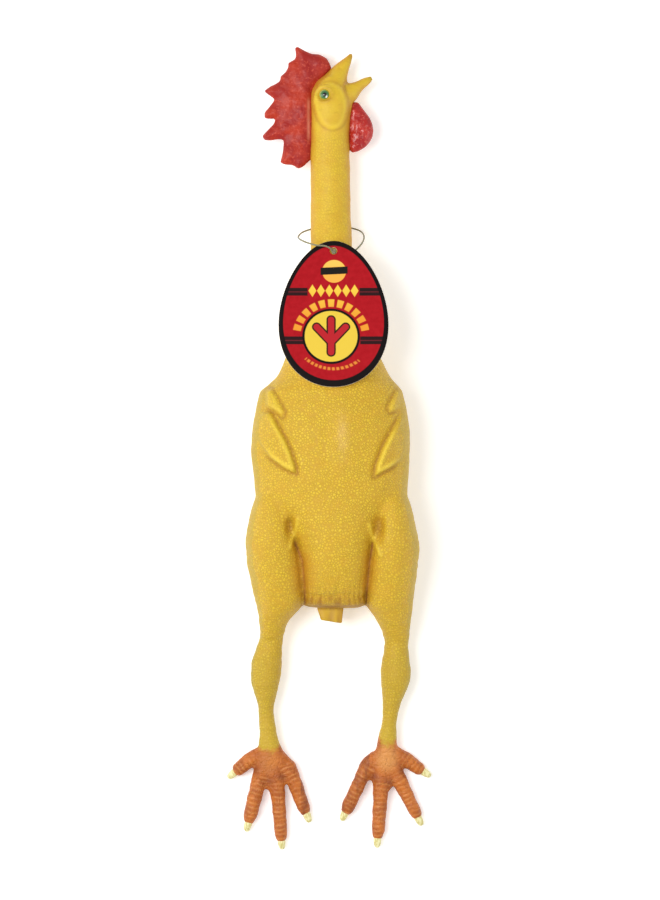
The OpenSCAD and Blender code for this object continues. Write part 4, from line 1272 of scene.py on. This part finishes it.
@dataclass
class Crest:
    """A thick red flap cast on the head, with rounded edges and ridges that run out to its points."""

    name: str
    node: str
    edge: Tuple[Tuple[float, float], ...]
    root: Tuple[Tuple[float, float], ...]
    ridges: Tuple[Tuple[Tuple[float, float], ...], ...]
    mid_z: float = 16.0
    slab: float = 3.2            # half the thickness of the slab that it starts as
    half: float = 4.1
    voxel: float = 0.75
    grain: float = 0.3

    def build(self, finish: bpy.types.Material, start: Point, end: Point) -> None:
        """Makes the flap in its place on the head."""
        outline = list(self.edge) + list(self.root)
        crest = prism(outline, self.mid_z - self.slab, self.mid_z + self.slab, self.name)
        modify(crest, "REMESH", mode="VOXEL", voxel_size=self.voxel * MM, use_smooth_shade=True)
        relax(crest, 5, lambda q: np.full(len(q), 0.5))
        p = points_of(crest)
        depth = np.maximum(inside(p, outline), 0)
        level = (p[:, 2] - self.mid_z) / self.slab
        swell = 0.32 + 0.68 * (1 - np.exp(-depth / 2.6))
        relief = sum(0.4 * bell(away(p, line), 2.2) for line in self.ridges)
        relief += self.grain * lattice_noise(p, 2.4, 41) + 0.6 * lattice_noise(p, 9.0, 43)
        p[:, 2] = self.mid_z + np.clip(level, -1.1, 1.1) * (self.half * swell + relief * step(depth, 0.3, 3))
        put_points(crest, p)
        relax(crest, 1, lambda q: np.full(len(q), 0.35))
        smooth_shade(crest, 70)
        p = points_of(crest)
        store(crest, "place", p * MM)
        # Painted highlight: a pale strip along the comb's raised rim where it meets the head
        rim = bell(p[:, 0] + 15.7, 0.9) * step(p[:, 1], 204, 212) * (1 - step(p[:, 1], 232, 238))
        store(crest, "rim", 0.8 * rim * (self.node == "comb"))
        # Painted shade in the hollows between the ridges
        between = np.minimum.reduce([away(p, line) for line in self.ridges])
        store(crest, "crease", 0.15 * step(between, 3, 6) * (1 - step(inside(p, outline), 3, 9)))
        hand_in(crest, finish, [self.node])
        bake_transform(crest)


def comb() -> Crest:
    """The comb on the crown and the nape, with its row of points."""
    base_y = 186.58
    edge = [
        (1.5, 71), (3.5, 74.5), (8.5, 77.2), (13.5, 77.4), (18.5, 79.6), (23.4, 82.6), (24.9, 81.2), (24.2, 77.6),
        (24.4, 74.2), (27, 72.6), (29.6, 71.2), (29.2, 68.4), (31.5, 64.8), (34.5, 62.4), (34.6, 59.5), (37.5, 57.4),
        (41.5, 55.6), (45.8, 52.4), (41.4, 49.2), (38.2, 47), (41.4, 42.8), (45.4, 38.2), (45.2, 34.6), (41.2, 34.4),
        (37.6, 34.6), (39.2, 31), (43.4, 27), (46.9, 23.4), (45.2, 20.8), (41, 20.6), (36.6, 21.4), (32.2, 21.2),
        (33, 13), (34.7, 6), (31.4, 4.6), (26.4, 4.4), (22.6, 1.7), (19.4, 3.2), (15.2, 7.2)]
    root = [(12.2, 9), (12.2, 40), (12.0, 52), (10.4, 56.6), (7.2, 60.4), (3.4, 64.4), (0.2, 67.6)]
    ridges = [[(14, 58), (23, 80)], [(17, 50), (28, 70)], [(18, 44), (43, 52)], [(18, 38), (43, 37)],
              [(18, 32), (44, 23.5)], [(20, 24), (31, 8)], [(18, 20), (23, 5)]]

    def side(points: Outline) -> Tuple[Tuple[float, float], ...]:
        """Mirrors points to the left of the head and sets them at its height."""
        return tuple((-a, base_y + b + 1.5 * float(step(np.float64(b), 12.0, 50.0))) for a, b in points)

    return Crest("comb_flap_skin", "comb", side(edge), side(root), tuple(side(r) for r in ridges))


def wattle() -> Crest:
    """The wattle that hangs from the chin."""
    edge = [
        (14.2, 233.2), (17.6, 233.0), (19.6, 230.4), (22.4, 226.6), (25.4, 222.6), (27.2, 218.4), (27.9, 214),
        (27.2, 209.6), (25, 205.6), (21.8, 202.4), (17.6, 200), (13.8, 199.2)]
    root = [(10.6, 201.6), (9.8, 208), (9.8, 222), (11, 231)]
    ridges = [[(14, 228), (17, 206)], [(17, 226), (22.5, 208)], [(19, 224), (25.5, 213)]]
    return Crest("wattle_flap_skin", "wattle", tuple(edge), tuple(root), tuple(tuple(r) for r in ridges), half=4.4,
                 voxel=0.6, grain=0.55)


# ---- Eyes, claws and tail ----


@dataclass
class Eye:
    """A cast eye that bulges from its lid, with its pupil, iris and a painted catch light of white."""

    centre: Tuple[float, float] = EYE
    radius: float = 4.0
    mid_z: float = 16.0
    out: float = 10.9

    def build(self) -> None:
        """Makes both eyes."""
        paint, catch_light = EyePaint().material(), CatchLight().material()
        for word, sign in (("left", 1), ("right", -1)):
            bpy.ops.object.select_all(action="DESELECT")
            cx, cy = self.centre
            bpy.ops.mesh.primitive_uv_sphere_add(segments=48, ring_count=24, radius=self.radius * MM,
                                                 location=metres((cx, cy, self.mid_z + sign * self.out)))
            eye = bpy.context.object
            eye.name = eye.data.name = f"eye_{word}_ball"
            bpy.ops.object.transform_apply(location=True)
            p = points_of(eye)
            off = np.hypot(p[:, 0] - cx, p[:, 1] - cy)
            dome = (p[:, 2] - self.mid_z - sign * self.out) * sign
            pupil = 0.25 * np.exp(-(off / 1.3) ** 2)
            p[:, 2] = self.mid_z + sign * (self.out + np.where(dome > 0, dome * 0.92 + pupil, dome * 0.6))
            put_points(eye, p)
            store(eye, "ring", off / self.radius)
            # A painted catch light: a white fleck that stands in for the reflection of a lamp
            bpy.ops.object.select_all(action="DESELECT")
            bpy.ops.mesh.primitive_uv_sphere_add(segments=20, ring_count=12, radius=0.72 * MM)
            glint = bpy.context.object
            q = points_of(glint) * [1.0, 1.25, 0.4]
            put_points(glint, q + [cx + 1.15, cy - 1.35, self.mid_z + sign * (self.out + self.radius * 0.92 * 0.9)])
            glint.name = glint.data.name = f"eye_{word}_dab"
            for obj in (eye, glint):
                smooth_shade(obj, 80)
            hand_in(eye, paint, [f"eye_{word}"])
            glint.data.materials.append(catch_light)
            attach(eye, "head")
            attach(glint, "head")


@dataclass
class Claws:
    """Blunt horn tips that curve down out of the toes."""

    sides: int = 18
    base_r: float = 2.7

    def build(self) -> None:
        """Makes a claw for each toe."""
        finish = HornPaint().material()
        for side in Side:
            for toe in TOES[side]:
                _, end = toe_line(toe)
                way = toe_way(toe)
                shares = [-0.3, 0.0, 0.28, 0.52, 0.74, 0.88, 0.95]
                widths = [2.0, self.base_r, 2.65, 2.45, 2.1, 1.6, 0.8]
                route = [end + way * CLAW_L * s + [0, 0, 0.35 - 1.5 * max(s, 0) ** 2] for s in shares]
                radii = [(w, w * 0.86) for w in widths]
                claw = tube(f"{toe.name}_claw_{side.tag}_tip", np.array(route), np.array(radii), 3, self.sides)
                p = points_of(claw)
                put_points(claw, p + np.random.default_rng(7).normal(0, 0.03, p.shape))
                relax(claw, 2, lambda q: np.full(len(q), 0.3))
                smooth_shade(claw, 60)
                hand_in(claw, finish, [f"{toe.name}_claw_{side.tag}"])
                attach(claw, f"{toe.name}_toe_{side.tag}")


@dataclass
class TailStub:
    """The pinched end of the spout, trimmed off square after casting."""

    centre: Tuple[float, float, float] = (-1.2, -108.0, 21.0)
    size: Tuple[float, float, float] = (18.6, 16.0, 8.4)

    def build(self, finish: bpy.types.Material) -> None:
        """Makes the stub from a block: subdivided, pinched towards its end and rounded."""
        bpy.ops.object.select_all(action="DESELECT")
        bpy.ops.mesh.primitive_cube_add(size=1.0, location=metres(self.centre), scale=metres(self.size))
        stub = bpy.context.object
        stub.name = stub.data.name = "tail_stub"
        bpy.ops.object.transform_apply(location=True, rotation=True, scale=True)
        modify(stub, "BEVEL", width=1.3 * MM, segments=3)
        bpy.ops.object.mode_set(mode="EDIT")
        bpy.ops.mesh.select_all(action="SELECT")
        bpy.ops.mesh.subdivide(number_cuts=7)
        bpy.ops.object.mode_set(mode="OBJECT")
        p = points_of(stub)
        down = step(-p[:, 1], 102, 116)
        p[:, 0] = self.centre[0] + (p[:, 0] - self.centre[0]) * (1 - 0.22 * down) + 0.6 * down
        p[:, 1] += -0.16 * (p[:, 0] - self.centre[0]) * step(-p[:, 1], 108, 114) + 0.8 * step(-p[:, 1], 110, 116)
        p[:, 2] += 0.35 * lattice_noise(p, 4.0, 51) + 0.5 * np.sin(p[:, 0] * 0.9) * down
        put_points(stub, p)
        smooth_shade(stub, 50)
        CastSkin.dress(stub)
        hand_in(stub, finish, ["tail_plug"])
        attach(stub, "torso")


def main() -> None:
    """Builds the studio and the chicken, piece by piece."""
    Studio().build()
    CordLoop().build()
    SwingTag().build()
    rubber = CastRubber().material()
    cast = CastSkin()
    cast.split(cast.cast(), rubber)
    comb().build(PaintedComb("red_painted_comb").material(), (-14.5, 215, 16), (-21, 215, 16))
    wattle().build(PaintedComb("red_gloss_wattle", base="c02c22", dark="a81c1c", light="dc6a58", gloss=0.16, coat=0.5,
                               depth_mm=0.5).material(), (13.4, 215, 16), (18.5, 215, 16))
    Eye().build()
    Claws().build()
    TailStub().build(rubber)


if __name__ == "__main__":
    logging.basicConfig(level=logging.INFO, format="%(message)s")
    main()
